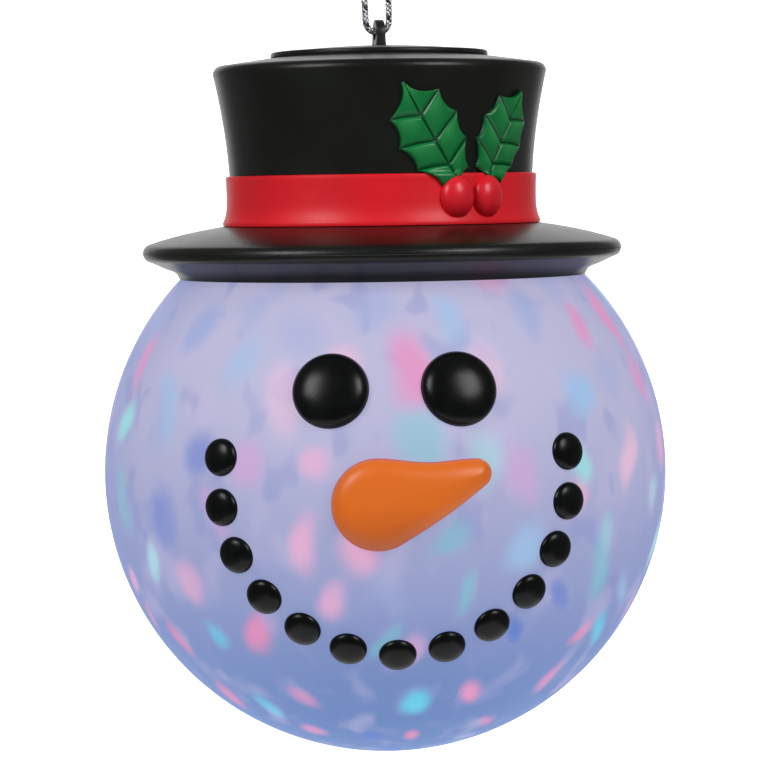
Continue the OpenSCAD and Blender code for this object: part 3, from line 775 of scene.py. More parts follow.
def bevel_edges(mesh: BMesh, edges: Iterable[bmesh.types.BMEdge], width: float, segments: int = 3) -> None:
    """Rounds edges of a shape."""
    bmesh.ops.bevel(
        mesh, geom=list(edges), offset=width, segments=segments, profile=0.5, affect="EDGES", material=-1,
        clamp_overlap=True,
    )


def sharp_edges(mesh: BMesh, degrees: float) -> list[bmesh.types.BMEdge]:
    """The edges at which a shape turns by more than an angle."""
    limit = math.radians(degrees)
    return [e for e in mesh.edges if len(e.link_faces) == 2 and e.calc_face_angle(0.0) > limit]


@dataclass
class Maker:
    """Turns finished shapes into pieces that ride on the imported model."""

    materials: dict[str, bpy.types.Material] = field(default_factory=dict)
    made: list[bpy.types.Object] = field(default_factory=list)

    def finish(
        self,
        mesh: BMesh,
        name: str,
        body: Body,
        slot: str,
        material: bpy.types.Material,
        stands_for: Sequence[str] = (),
        smooth: float = 32.0,
        weld: float = 1e-6,
    ) -> bpy.types.Object:
        """Makes a piece from a shape.

        Args:
            mesh: the finished shape, in place.
            name: the piece's name.
            body: the CAD body that it rides on.
            slot: the record's material slot for the piece; it is not used.
            material: its material.
            stands_for: the CAD nodes that it hides.
            smooth: the angle in degrees past which an edge shows as sharp.
            weld: how near two points are before they are one.

        Returns:
            The piece.
        """
        bmesh.ops.remove_doubles(mesh, verts=mesh.verts, dist=weld)
        bmesh.ops.recalc_face_normals(mesh, faces=mesh.faces)
        data = bpy.data.meshes.new(name)
        mesh.to_mesh(data)
        mesh.free()
        data.polygons.foreach_set("use_smooth", [True] * len(data.polygons))
        data.set_sharp_from_angle(angle=math.radians(smooth))
        data.materials.append(material)
        piece = bpy.data.objects.new(name, data)
        bpy.context.scene.collection.objects.link(piece)
        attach(piece, body.value)
        if stands_for:
            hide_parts(*stands_for)
        self.made.append(piece)
        log.info("%s: %d faces on %s", name, len(data.polygons), body.value)
        return piece


# ---------------------------------------------------------------------------------------------------------------------
# The object's places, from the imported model


@dataclass(frozen=True)
class Places:
    """Where things are, in metres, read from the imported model."""

    globe_r: float
    centre: Vector
    brim_r: float
    foot_z: float
    band_z: float
    deck_z: float
    seat_z: float

    @classmethod
    def read(cls) -> "Places":
        """Reads the places from the boxes of the CAD nodes."""
        low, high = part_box("globe")
        globe_r = (high.x - low.x) / 2
        centre = Vector((0, 0, low.z + globe_r))
        brim_low, brim_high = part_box("hat_brim")
        crown_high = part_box("hat_crown")[1]
        band_low, band_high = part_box("hat_band")
        seat_r = 72 * MM
        return cls(
            globe_r=globe_r,
            centre=centre,
            brim_r=(brim_high.x - brim_low.x) / 2,
            foot_z=band_low.z - 0.1 * MM,
            band_z=band_high.z,
            deck_z=crown_high.z,
            seat_z=centre.z + math.sqrt(globe_r**2 - seat_r**2),
        )

    def on_globe(self, az: float, lift: float) -> Matrix:
        """The frame of a place on the globe.

        Args:
            az: degrees from the middle of the face towards +X.
            lift: degrees above the globe's middle.

        Returns:
            A matrix whose Z points straight out of the globe and whose Y points up along it.
        """
        turn = Matrix.Rotation(math.radians(az), 4, "Z") @ Matrix.Rotation(math.radians(90 - lift), 4, "X")
        return Matrix.Translation(self.centre) @ turn @ Matrix.Translation((0, 0, self.globe_r))


@dataclass(frozen=True)
class Crown:
    """The crown's outline, which the band, leaves and berries follow."""

    places: Places
    waist_r: float = 53.6 * MM
    flare: float = 5.5 * MM
    waist_rise: float = 10 * MM
    foot_flare: float = 2.1 * MM
    band_t: float = 1.35 * MM

    @property
    def top_z(self) -> float:
        """The height of the crown's widest line."""
        return self.places.deck_z - 5.2 * MM

    def radius(self, z: float) -> float:
        """The crown's radius at a height."""
        waist = self.places.foot_z + self.waist_rise
        if z >= waist:
            return self.waist_r + self.flare * ((z - waist) / (self.top_z - waist)) ** 1.8
        return self.waist_r + self.foot_flare * ((waist - z) / self.waist_rise) ** 3

    def skin(self, z: float) -> float:
        """The radius of what shows at a height, with the band on the crown."""
        over = (z - self.places.band_z) / (0.6 * MM)
        step = 0.5 - 0.5 * math.tanh(over)
        return self.radius(z) + self.band_t * step


# ---------------------------------------------------------------------------------------------------------------------
# The cord comes first, with the camera


@dataclass
class Camera:
    """The camera, which looks slightly down at the object from the front."""

    lens: float = 140.6
    distance: float = 1.07
    eye_rise: float = 100 * MM
    az: float = -2.2
    pitch: float = 3.7
    roll: float = 0.85

    def place(self, centre: Vector) -> bpy.types.Object:
        """Adds the camera.

        Args:
            centre: the globe's centre.

        Returns:
            The camera.
        """
        data = bpy.data.cameras.new("camera")
        data.lens = self.lens
        data.sensor_width = 36.0
        data.clip_end = 20.0
        camera = bpy.data.objects.new("camera", data)
        bpy.context.scene.collection.objects.link(camera)
        turn = math.radians(self.az)
        back = Vector((math.sin(turn), -math.cos(turn), 0.0))
        spot = Vector((0, 0, centre.z + self.eye_rise)) + back * self.distance
        turned = Matrix.Rotation(turn, 4, "Z") @ Matrix.Rotation(math.radians(90 - self.pitch), 4, "X")
        camera.matrix_world = Matrix.Translation(spot) @ turned @ Matrix.Rotation(math.radians(-self.roll), 4, "Z")
        bpy.context.scene.camera = camera
        return camera


@dataclass
class HangingCord:
    """The metallic braided cord: a loop through the hanging eye, tied in a knot above it."""

    maker: Maker
    finish: bpy.types.Material
    diameter: float = 2.1 * MM
    carriers: int = 8
    lay: float = 6.2 * MM
    tab_turn: float = 8.0
    route: tuple[tuple[float, float], ...] = (
        (-1.2, 58), (-3.9, 54), (-6.6, 49), (-8.3, 43), (-8.6, 37), (-8, 31), (-7, 25), (-5.9, 19),
        (-5.1, 13), (-4.8, 8), (-4.7, 4.7), (-4.4, 3.1), (-3.5, 1.7), (-2.1, 0.8), (-0.5, 0.5), (1.1, 0.8),
        (2.5, 1.7), (3.4, 3.1), (3.7, 4.7), (3.7, 8), (3.7, 13), (4.3, 19), (5.3, 25), (6.3, 31), (7, 37), (7, 43),
        (5.8, 49), (3.6, 54), (1.2, 58),
    )

    def build(self) -> None:
        turn = Matrix.Rotation(math.radians(self.tab_turn), 3, "Z")
        points = [turn @ Vector((s, 0, z)) * MM for s, z in self.route]
        line = self._smooth(points, 0.45 * MM)
        cord = self.maker.finish(
            self._braid(line), "hanging_cord_braid", Body.CAP, "cord_metallic", self.finish, ("hanging_cord",), 60.0,
        )
        knot = self.maker.finish(
            self._knot(turn), "cord_knot_tied", Body.CAP, "cord_metallic", self.finish, ("cord_knot",), 60.0,
        )
        length = sum((b - a).length for a, b in zip(line, line[1:], strict=False))
        log.info("hanging cord: %.0f mm long", length / MM)

    @staticmethod
    def _smooth(points: Sequence[Vector], step: float) -> list[Vector]:
        """A smooth line through points.

        Args:
            points: the points that the line passes through.
            step: about how far apart the line's own points are.

        Returns:
            The line's points.
        """
        line: list[Vector] = []
        last = len(points) - 1
        for i in range(last):
            a, b = points[max(i - 1, 0)], points[i]
            c, d = points[i + 1], points[min(i + 2, last)]
            pieces = max(2, round((c - b).length / step))
            for k in range(pieces):
                t = k / pieces
                line.append(
                    0.5 * (2 * b + (c - a) * t + (2 * a - 5 * b + 4 * c - d) * t**2 + (3 * b - a - 3 * c + d) * t**3)
                )
        return [*line, points[-1].copy()]

    def _braid(self, line: Sequence[Vector], radius: float | None = None) -> BMesh:
        """Braids strands round a line.

        Args:
            line: the cord's centre line.
            radius: the braid's radius, or None for the cord's own.

        Returns:
            The strands and the core that they cover.
        """
        radius = radius or self.diameter / 2
        mesh = bmesh.new()
        mark = mesh.verts.layers.float.new("tracer")
        frames = self._frames(line)
        strand_r = radius * 0.34
        for carrier in range(self.carriers):
            ways = 1 if carrier % 2 else -1
            phase = TAU * (carrier // 2) / (self.carriers / 2) + (0.35 if carrier % 2 else 0.0)
            black = 1.0 if carrier in (0, 5) else 0.0
            centre_line, along = [], 0.0
            for i, (spot, out, side) in enumerate(frames):
                along += (spot - line[i - 1]).length if i else 0.0
                angle = phase + ways * TAU * along / self.lay
                weave = 0.10 * radius * math.sin(2 * angle * self.carriers / 4 + ways * math.pi / 2)
                reach = radius - strand_r * 0.8 + weave
                centre_line.append(spot + (out * math.cos(angle) + side * math.sin(angle)) * reach)
            self._tube(mesh, centre_line, strand_r, 6, mark, black)
        self._tube(mesh, list(line), radius * 0.62, 8, mark, 0.0)
        return mesh

    @staticmethod
    def _frames(line: Sequence[Vector]) -> list[tuple[Vector, Vector, Vector]]:
        """Each point of a line with two directions square to it that don't twist along it."""
        frames = []
        out = Vector((0, 0, 0))
        for i, spot in enumerate(line):
            way = (line[min(i + 1, len(line) - 1)] - line[max(i - 1, 0)]).normalized()
            if i == 0:
                out = way.orthogonal().normalized()
            out = (out - way * out.dot(way)).normalized()
            frames.append((spot, out.copy(), way.cross(out)))
        return frames

    def _tube(
        self, mesh: BMesh, line: Sequence[Vector], radius: float, sides: int,
        mark: bmesh.types.BMLayerItem, value: float,
    ) -> None:
        """Adds a closed tube along a line by bridging rings.

        Args:
            mesh: the shape that it is added to.
            line: the tube's centre line.
            radius: the tube's radius.
            sides: how many sides it has.
            mark: the layer that says which strand is black.
            value: what that layer gets.
        """
        before = None
        last = len(line) - 1
        for i, (spot, out, side) in enumerate(self._frames(line)):
            turn = Matrix((out, side, out.cross(side))).transposed().to_4x4()
            ring = bmesh.ops.create_circle(
                mesh, cap_ends=i in (0, last), segments=sides, radius=radius, matrix=Matrix.Translation(spot) @ turn,
            )["verts"]
            for vert in ring:
                vert[mark] = value
            if before is not None:
                for k in range(sides):
                    mesh.faces.new((before[k], before[(k + 1) % sides], ring[(k + 1) % sides], ring[k]))
            before = ring

    def _knot(self, turn: Matrix) -> BMesh:
        """An overhand knot with two short frayed tails."""
        steps = 90
        line = []
        for k in range(steps + 1):
            t = TAU * k / steps
            swing = (2 + math.cos(3 * t)) * 0.62 * MM
            line.append(turn @ Vector((swing * math.cos(2 * t) * 1.1, math.sin(3 * t) * 0.9 * MM, swing * math.sin(2 * t)))
                        + Vector((0, 0, 60.5 * MM)))
        knot = self._braid(line, 0.9 * MM)
        for side in (-1, 1):
            tail = [turn @ Vector((side * (0.6 + 0.25 * k), 0, 60.8 + k * 0.9)) * MM for k in range(10)]
            merge(knot, self._braid(self._smooth(tail, 0.5 * MM), 0.9 * MM))
        return knot


# ---------------------------------------------------------------------------------------------------------------------
# Globe and face


@dataclass
class Globe:
    """The milky globe and the raised face on it."""

    maker: Maker
    places: Places
    wall: float = 1.6 * MM
    neck_r: float = 46 * MM
    neck_rise: float = 3.2 * MM
    eye_r: float = 12.8 * MM
    eye_t: float = 5.2 * MM
    coal_r: float = 6.3 * MM
    coal_t: float = 2.9 * MM
    mouth_spread: float = 35.4
    mouth_lift: float = 3.0
    coal_step: float = 16.4

    def build(self, glow: bpy.types.Material, coal: bpy.types.Material, orange: bpy.types.Material) -> None:
        """Makes the globe, the eyes, the nose and the mouth.

        Args:
            glow: the globe's material.
            coal: the eyes' and the mouth's material.
            orange: the nose's material.
        """
        self.maker.finish(self._shell(), "globe_glowing", Body.LAMP, "globe_milk", glow, ("globe",), 40.0)
        for name, side in (("eye_left", -1), ("eye_right", 1)):
            shape = place_mesh(self._dome(self.eye_r, self.eye_t, 72), self.places.on_globe(side * 13.0, 20.4))
            self.maker.finish(shape, f"{name}_dome", Body.LAMP, "coal_black", coal, (name,), 50.0)
        for i in range(13):
            shape = place_mesh(self._dome(self.coal_r, self.coal_t, 56), self._on_mouth(i - 6))
            self.maker.finish(shape, f"mouth_coal_{i + 1:02d}", Body.LAMP, "coal_black", coal, (f"coal_{i + 1:02d}",), 50.0)
        self.maker.finish(Nose(self.places).shape(), "carrot_nose", Body.LAMP, "nose_orange", orange, ("nose",), 60.0)

    def _on_mouth(self, k: int) -> Matrix:
        """The frame of a mouth coal, k steps from the middle one."""
        turn = (
            Matrix.Rotation(math.radians(-self.mouth_lift), 4, "X")
            @ Matrix.Rotation(math.radians(-k * self.coal_step), 4, "Y")
            @ Matrix.Rotation(math.radians(self.mouth_spread + 90), 4, "X")
        )
        return Matrix.Translation(self.places.centre) @ turn @ Matrix.Translation((0, 0, self.places.globe_r))

    def _dome(self, radius: float, height: float, steps: int) -> BMesh:
        """A round dome whose back follows the globe, with its peg.

        Args:
            radius: the dome's radius.
            height: how far it stands out.
            steps: how many facets go round.

        Returns:
            The dome, standing along Z with the globe's surface at its foot.
        """
        globe_r = self.places.globe_r
        outline: Profile = [(0.0, -self.wall - 2 * MM), (1.5 * MM, -self.wall - 2 * MM), (1.5 * MM, 0.05 * MM)]
        for k in range(1, 4):
            r = 1.5 * MM + (radius - 1.5 * MM) * k / 3
            outline.append((r, math.sqrt(globe_r**2 - r**2) - globe_r + 0.05 * MM))
        foot = outline[-1][1]
        turns = 14
        for k in range(1, turns + 1):
            angle = math.pi / 2 * k / turns
            lean = math.cos(angle) ** 0.92
            outline.append((radius * lean, foot + (height - foot) * math.sin(angle) ** 0.86))
        outline[-1] = (0.0, height)
        return lathe(outline, steps)

    def _shell(self) -> BMesh:
        """The globe's blown shell with its neck and flange."""
        radius, inner = self.places.globe_r, self.places.globe_r - self.wall
        neck_in = self.neck_r - 1.8 * MM
        top = math.sqrt(radius**2 - self.neck_r**2) + self.neck_rise
        flange = self.neck_r + 4.5 * MM
        outer_top = math.asin(self.neck_r / radius)
        inner_top = math.asin(neck_in / inner)
        steps, back_steps = 132, 44
        outer = [
            (radius * math.sin(a), -radius * math.cos(a))
            for a in ((math.pi - outer_top) * k / steps for k in range(steps + 1))
        ]
        back = [
            (inner * math.sin(a), -inner * math.cos(a))
            for a in ((math.pi - inner_top) * (1 - k / back_steps) for k in range(back_steps + 1))
        ]
        outer[0], back[-1] = (0.0, -radius), (0.0, -inner)
        neck = fillet([
            (self.neck_r, top - 1.8 * MM, 0), (flange, top - 1.8 * MM, 0.3 * MM), (flange, top, 0.3 * MM),
            (neck_in, top, 0.4 * MM),
        ])[1:]
        shell = lathe([*outer, (self.neck_r, top - 1.8 * MM), *neck, *back], 264)
        place_mesh(shell, Matrix.Translation(self.places.centre))
        Beams(Facets().spots()).lay(shell, self.places.centre)
        return shell


@dataclass
class Nose:
    """The puffed carrot, which lies along the globe."""

    places: Places
    big: tuple[float, float, float] = (-3.7, -1.3, 15.3)
    tip: tuple[float, float, float] = (15.2, 4.2, 4.9)
    height: float = 6.0 * MM
    edge: float = 6.5 * MM
    dip: float = 1.1

    def shape(self) -> BMesh:
        """The nose as a closed shape on the globe."""
        around, rings = 128, 14
        mesh = bmesh.new()
        bmesh.ops.create_grid(mesh, x_segments=around, y_segments=rings, size=0.5)
        inset = mesh.verts.layers.float.new("inset")
        for vert in mesh.verts:
            u, v = vert.co.x + 0.5, vert.co.y + 0.5
            vert.co, vert[inset] = self._front(u, v)
        bmesh.ops.remove_doubles(mesh, verts=mesh.verts, dist=0.00002)
        rim = [e for e in mesh.edges if e.is_boundary]
        skirt = bmesh.ops.extrude_edge_only(mesh, edges=rim)["geom"]
        for vert in (g for g in skirt if isinstance(g, BMVert)):
            vert.co = self._lay(vert.co, 0.05 * MM)
        bmesh.ops.holes_fill(mesh, edges=[e for e in mesh.edges if e.is_boundary], sides=0)
        return mesh

    def _lay(self, point: Vector, height: float) -> Vector:
        """A point above or below another, at a height over the globe."""
        return self.places.centre + (point - self.places.centre).normalized() * (self.places.globe_r + height)

    def _outline(self, u: float) -> tuple[Vector, Vector]:
        """A point of the outline and the point of the nose's spine that it belongs to, flat in millimetres."""
        scale = math.radians(1.0) * self.places.globe_r / MM
        big, tip = Vector(self.big[:2]) * scale, Vector(self.tip[:2]) * scale
        way = (tip - big).normalized()
        left = Vector((-way.y, way.x))
        length = (tip - big).length
        lean = math.asin((self.big[2] - self.tip[2]) / length)
        big_sweep, tip_sweep = math.pi + 2 * lean, math.pi - 2 * lean
        side = length * math.cos(lean)
        total = self.big[2] * big_sweep + self.tip[2] * tip_sweep + 2 * side
        at = u * total
        if at < self.big[2] * big_sweep:
            angle = math.pi / 2 - lean + at / self.big[2]
            return big + (way * math.cos(angle) + left * math.sin(angle)) * self.big[2], big
        at -= self.big[2] * big_sweep
        if at < side:
            t = at / side
            spine = big.lerp(tip, t)
            radius = self.big[2] + (self.tip[2] - self.big[2]) * t + 0.5 * math.sin(math.pi * t)
            angle = -(math.pi / 2 - lean)
            return spine + (way * math.cos(angle) + left * math.sin(angle)) * radius, spine
        at -= side
        if at < self.tip[2] * tip_sweep:
            angle = -(math.pi / 2 - lean) + at / self.tip[2]
            return tip + (way * math.cos(angle) + left * math.sin(angle)) * self.tip[2], tip
        t = 1 - (at - self.tip[2] * tip_sweep) / side
        spine = big.lerp(tip, t)
        radius = self.big[2] + (self.tip[2] - self.big[2]) * t - self.dip * math.sin(math.pi * t) ** 2
        angle = math.pi / 2 - lean
        return spine + (way * math.cos(angle) + left * math.sin(angle)) * radius, spine

    def _front(self, u: float, v: float) -> tuple[Vector, float]:
        """A point of the puffed face.

        Args:
            u: from 0 to 1 round the outline.
            v: from 0 at the edge to 1 on the spine.

        Returns:
            The point, in place on the globe, and how far it lies inside the outline in millimetres.
        """
        rim, spine = self._outline(min(max(u, 0.0), 1.0))
        flat = rim.lerp(spine, v)
        inward = (rim - flat).length
        edge = self.edge / MM
        t = min(inward / edge, 1.0)
        crown = 0.16 * min(inward / self.big[2], 1.0)
        height = self.height * (0.84 * math.sqrt(max(0.0, 1 - (1 - t) ** 2.2)) + crown) + 0.15 * MM
        az, lift = (flat * MM / self.places.globe_r).to_tuple()
        way = Vector((math.sin(az) * math.cos(lift), -math.cos(az) * math.cos(lift), math.sin(lift)))
        return self.places.centre + way * (self.places.globe_r + height), inward


# ---------------------------------------------------------------------------------------------------------------------
# Hat


@dataclass
class Hat:
    """The top hat: crown and brim, underside ring, and band."""

    maker: Maker
    places: Places
    crown: Crown
    wall: float = 2 * MM
    rim_r: float = 3.2 * MM
    rim_rise: float = 9.4 * MM
    hole_r: float = 39.5 * MM
    seat_r: float = 72 * MM

    def build(self, black: bpy.types.Material, red: bpy.types.Material) -> None:
        """Makes the hat's shells and its band.

        Args:
            black: the hat's material.
            red: the band's material.
        """
        self.maker.finish(self._shell(), "top_hat", Body.LAMP, "hat_black", black, ("hat_crown", "hat_brim"), 48.0)
        self.maker.finish(self._underside(), "brim_lining", Body.LAMP, "hat_black", black, ("brim_underside",), 48.0)
        self.maker.finish(self._band(), "red_band", Body.LAMP, "band_red", red, ("hat_band",), 50.0)

    @property
    def rim_z(self) -> float:
        """The height of the rim's centre."""
        return self.places.seat_z + self.rim_rise

    @property
    def rim_c(self) -> float:
        """The radius of the rim's centre."""
        return self.places.brim_r - self.rim_r

    def _rim(self, start: float, end: float, radius: float, steps: int = 12) -> Profile:
        """An arc of the brim's rounded rim, between two angles in degrees."""
        turns = [math.radians(start + (end - start) * k / steps) for k in range(steps + 1)]
        return [(self.rim_c + radius * math.cos(a), self.rim_z + radius * math.sin(a)) for a in turns]

    def _brim_top(self, t: float) -> tuple[float, float]:
        """A point of the brim's upper face, from 0 at the crown's foot to 1 at the rim."""
        foot_r, foot_z = self.crown.radius(self.places.foot_z), self.places.foot_z
        angle = math.radians(72)
        end_r, end_z = self.rim_c + self.rim_r * math.cos(angle), self.rim_z + self.rim_r * math.sin(angle)
        drop = 0.78 * t + 0.22 * t**3 - 0.02 * math.sin(math.pi * t)
        return foot_r + (end_r - foot_r) * t, foot_z + (end_z - foot_z) * drop

    def _shell(self) -> BMesh:
        """The crown and the brim's upper face."""
        crown, places, wall = self.crown, self.places, self.wall
        steps = 26
        heights = [places.foot_z + (crown.top_z - places.foot_z) * k / steps for k in range(steps + 1)]
        outer = self._rim(0, 66, self.rim_r) + [self._brim_top(1 - k / 14) for k in range(1, 14)]
        outer += [(crown.radius(z), z) for z in heights]
        top_r = crown.radius(crown.top_z)
        shoulder = 2.9 * MM
        for k in range(1, 9):
            angle = math.pi / 2 * k / 8
            lift = crown.top_z + shoulder * math.sin(angle)
            outer.append((top_r - shoulder * 0.9 * (1 - math.cos(angle)), lift))
        deck_z = places.deck_z
        rim_in = outer[-1][0]
        outer += [
            (rim_in + (self.hole_r + 1.2 * MM - rim_in) * t, crown.top_z + shoulder + (deck_z - crown.top_z - shoulder) * t)
            for t in (0.25, 0.5, 0.75, 0.93)
        ]
        outer += [(self.hole_r + 0.4 * MM, deck_z - 0.05 * MM), (self.hole_r, deck_z - 0.5 * MM)]
        inner = [(self.hole_r, deck_z - wall), (top_r - 2.7 * MM - wall, crown.top_z + shoulder - wall)]
        inner += [(crown.radius(z) - wall, z - (wall if z == heights[0] else 0.0)) for z in reversed(heights)]
        inner += [(r - 0.4 * MM, z - wall) for r, z in (self._brim_top(k / 6) for k in range(1, 6))]
        inner += self._rim(60, 0, self.rim_r - wall + 0.6 * MM, 5)
        return lathe([*outer, *inner], 224)

    def _underside(self) -> BMesh:
        """The ring that closes the brim from below and rests on the globe."""
        seat_z, globe_r, centre_z = self.places.seat_z, self.places.globe_r + 0.1 * MM, self.places.centre.z
        lip_r = self.seat_r - 1.8 * MM
        outline: Profile = [
            (lip_r, centre_z + math.sqrt(globe_r**2 - lip_r**2)),
            (self.seat_r + 0.1 * MM, centre_z + math.sqrt(globe_r**2 - (self.seat_r + 0.1 * MM) ** 2)),
            (self.seat_r + 0.5 * MM, seat_z + 0.9 * MM),
            (self.seat_r + 1.4 * MM, seat_z + 2.3 * MM),
            (self.seat_r + 3.0 * MM, seat_z + 3.1 * MM),
            (self.seat_r + 5 * MM, seat_z + 3.8 * MM),
        ]
        outline += self._rim(-80, -1.5, self.rim_r) + self._rim(-1.5, -60, self.rim_r - 1.5 * MM, 5)
        outline += [(self.seat_r + 4.6 * MM, seat_z + 5.7 * MM), (lip_r, seat_z + 4.3 * MM)]
        return lathe(outline, 224)

    def _band(self) -> BMesh:
        """The band, a thin ring with soft edges that flares with the crown's foot."""
        low, high = self.places.foot_z + 0.1 * MM, self.places.band_z
        gap, thick, steps = 0.05 * MM, self.crown.band_t, 20
        heights = [low + (high - low) * k / steps for k in range(steps + 1)]
        inner = [(self.crown.radius(z) + gap, z) for z in heights]
        outer = []
        for z in reversed(heights):
            near = min(high - z, z - low) / (0.8 * MM)
            soft = math.sqrt(max(0.0, 1 - (1 - min(near, 1.0)) ** 2))
            outer.append((self.crown.radius(z) + gap + thick * (0.45 + 0.55 * soft), z))
        outer.insert(1, (self.crown.radius(high) + gap + thick * 0.9, high - 0.3 * MM))
        return lathe([*inner, *outer], 224)


@dataclass(frozen=True)
class LeafRib:
    """One cross rib of a leaf: its place on the midrib and its spike on each side, flat in millimetres."""

    middle: tuple[float, float]
    left: tuple[float, float]
    right: tuple[float, float]


@dataclass(frozen=True)
class LeafPlan:
    """A holly leaf laid flat in millimetres: a straight midrib, and cross ribs that lean towards its tip."""

    az: float
    foot: tuple[float, float]
    tip: tuple[float, float]
    half_wide: float = 12.0
    sweep: float = 4.5
    steps: tuple[float, ...] = (0.66, 0.40, 0.15, 0.0)
    foot_share: float = 0.52
    blunt: float = 0.4

    def ribs(self) -> list[LeafRib]:
        """The ribs from the tip to the foot, fullest below the middle."""
        foot, tip = Vector(self.foot), Vector(self.tip)
        way = (tip - foot).normalized()
        left = Vector((-way.y, way.x))
        made = [LeafRib(tuple(tip), tuple(tip + left * self.blunt), tuple(tip - left * self.blunt))]
        for step in self.steps:
            middle = foot.lerp(tip, step)
            fullness = math.sin(math.pi * (0.2 + 0.8 * step)) ** 0.7 if step > 0 else self.foot_share
            spike = middle + way * self.sweep * (1.0 if step > 0 else 0.2)
            reach = left * (self.half_wide * fullness)
            made.append(LeafRib(tuple(middle), tuple(spike + reach), tuple(spike - reach)))
        return made


@dataclass
class Holly:
    """Two leaves of puffed panels between sunk veins, and two berries."""

    maker: Maker
    places: Places
    crown: Crown
    left_leaf: LeafPlan = LeafPlan(16.0, (9.5, 34.0), (-11.0, 66.5))
    right_leaf: LeafPlan = LeafPlan(46.0, (-6.5, 34.5), (8.5, 64.0))
    base_t: float = 0.75 * MM
    puff_t: float = 1.2 * MM
    grid: int = 23

    def build(self, green: bpy.types.Material, berry: bpy.types.Material) -> None:
        """Makes the leaves and the berries.

        Args:
            green: the leaves' material.
            berry: the berries' material.
        """
        for name, plan, lift in (
            ("holly_leaf_right", self.right_leaf, 0.0), ("holly_leaf_left", self.left_leaf, 0.12 * MM),
        ):
            shape = self._leaf(plan.ribs(), plan.az, lift)
            self.maker.finish(shape, f"{name}_veined", Body.LAMP, "leaf_green", green, (name,), 38.0, 1e-5)
        for name, az, turn in (("holly_berry_left", 25.6, 4.0), ("holly_berry_right", 38.6, -6.0)):
            self.maker.finish(self._berry(az, turn), f"{name}_round", Body.LAMP, "berry_red", berry, (name,), 60.0)

    def _leaf(self, ribs: Sequence[LeafRib], az: float, lift: float) -> BMesh:
        """A leaf on the crown.

        Args:
            ribs: the leaf's ribs from tip to base.
            az: the azimuth of the leaf's own middle, in degrees.
            lift: how far this leaf's back stands off the crown.

        Returns:
            The closed leaf.
        """
        mesh = bmesh.new()
        puff = mesh.verts.layers.float.new("puff")
        for upper, lower in zip(ribs, ribs[1:], strict=False):
            for side in ("left", "right"):
                self._panel(mesh, puff, upper, lower, side)
        bmesh.ops.remove_doubles(mesh, verts=mesh.verts, dist=0.00002)
        bmesh.ops.recalc_face_normals(mesh, faces=mesh.faces)
        raised = bmesh.ops.extrude_face_region(mesh, geom=list(mesh.faces), use_keep_orig=True)["geom"]
        top = {g for g in raised if isinstance(g, BMVert)}
        for vert in mesh.verts:
            height = self.base_t + self.puff_t * vert[puff] if vert in top else 0.1 * MM
            vert.co = self._wrap(vert.co, az, height + lift)
        return mesh

    def _panel(self, mesh: BMesh, puff: bmesh.types.BMLayerItem, upper: LeafRib, lower: LeafRib, side: str) -> None:
        """Adds one flat panel between two ribs, with how far each of its points puffs out.

        Args:
            mesh: the leaf so far.
            puff: the layer that holds how far a point puffs out, from 0 to 1.
            upper: the rib at the panel's upper edge.
            lower: the rib at its lower edge.
            side: the side of the midrib that it lies on.
        """
        top_mid, low_mid = Vector(upper.middle), Vector(lower.middle)
        top_tip, low_tip = Vector(getattr(upper, side)), Vector(getattr(lower, side))
        hollow = 0.16 * (low_tip - top_tip).length
        inward = ((top_mid + low_mid) / 2 - (top_tip + low_tip) / 2).normalized()
        made = bmesh.ops.create_grid(mesh, x_segments=self.grid, y_segments=self.grid, size=0.5)["verts"]
        for vert in made:
            across, down = vert.co.x + 0.5, vert.co.y + 0.5
            sag = 4 * down * (1 - down)
            edge = top_tip.lerp(low_tip, down) + inward * hollow * sag
            middle = top_mid.lerp(low_mid, down)
            flat = middle.lerp(edge, across)
            bow = math.sin(math.pi * across) * 0.35
            vert.co = (flat.x * MM, (flat.y + bow) * MM, 0.0)
            walls = ((down, 0.16), (1 - down, 0.2), (across, 0.12), (1 - across, 0.1))
            rise = math.prod(math.sin(math.pi / 2 * min(max(gap, 0.0) / reach, 1.0)) for gap, reach in walls)
            vert[puff] = rise * (1.0 - 0.3 * down) * (0.85 + 0.15 * math.sin(math.pi * across))

    def _wrap(self, flat: Vector, az: float, height: float) -> Vector:
        """Lays a flat point on the crown, at a height over it."""
        z = self.places.seat_z + flat.y
        radius = self.crown.skin(z) + height
        turn = math.radians(az) + math.asin(max(-1.0, min(1.0, flat.x / radius)))
        return Vector((radius * math.sin(turn), -radius * math.cos(turn), z))

    def _berry(self, az: float, turn: float) -> BMesh:
        """A berry on the band, squashed and slightly dimpled, with a flat back on the crown."""
        mesh = bmesh.new()
        bmesh.ops.create_uvsphere(mesh, u_segments=64, v_segments=40, radius=1.0)
        z = self.places.foot_z + 9.5 * MM
        radius = self.crown.skin(z)

        def round_off(point: Vector) -> Vector:
            """Squashes the ball, dimples its foot and keeps it in front of the band."""
            out = max(point.z, -0.12)
            dimple = 0.10 * math.exp(-((point.x / 0.25) ** 2) - ((point.y + 0.95) / 0.3) ** 2)
            return Vector((point.x * 6.2 * MM, point.y * 7.3 * MM, (out * 4.3 - dimple * 4) * MM))

        shape_by(mesh, round_off)
        frame_in = (
            Matrix.Rotation(math.radians(az), 4, "Z")
            @ Matrix.Translation((0, -radius - 0.35 * MM, z))
            @ Matrix.Rotation(math.radians(90), 4, "X")
            @ Matrix.Rotation(math.radians(turn), 4, "Z")
        )
        return place_mesh(mesh, frame_in)


# ---------------------------------------------------------------------------------------------------------------------
# Cap and button


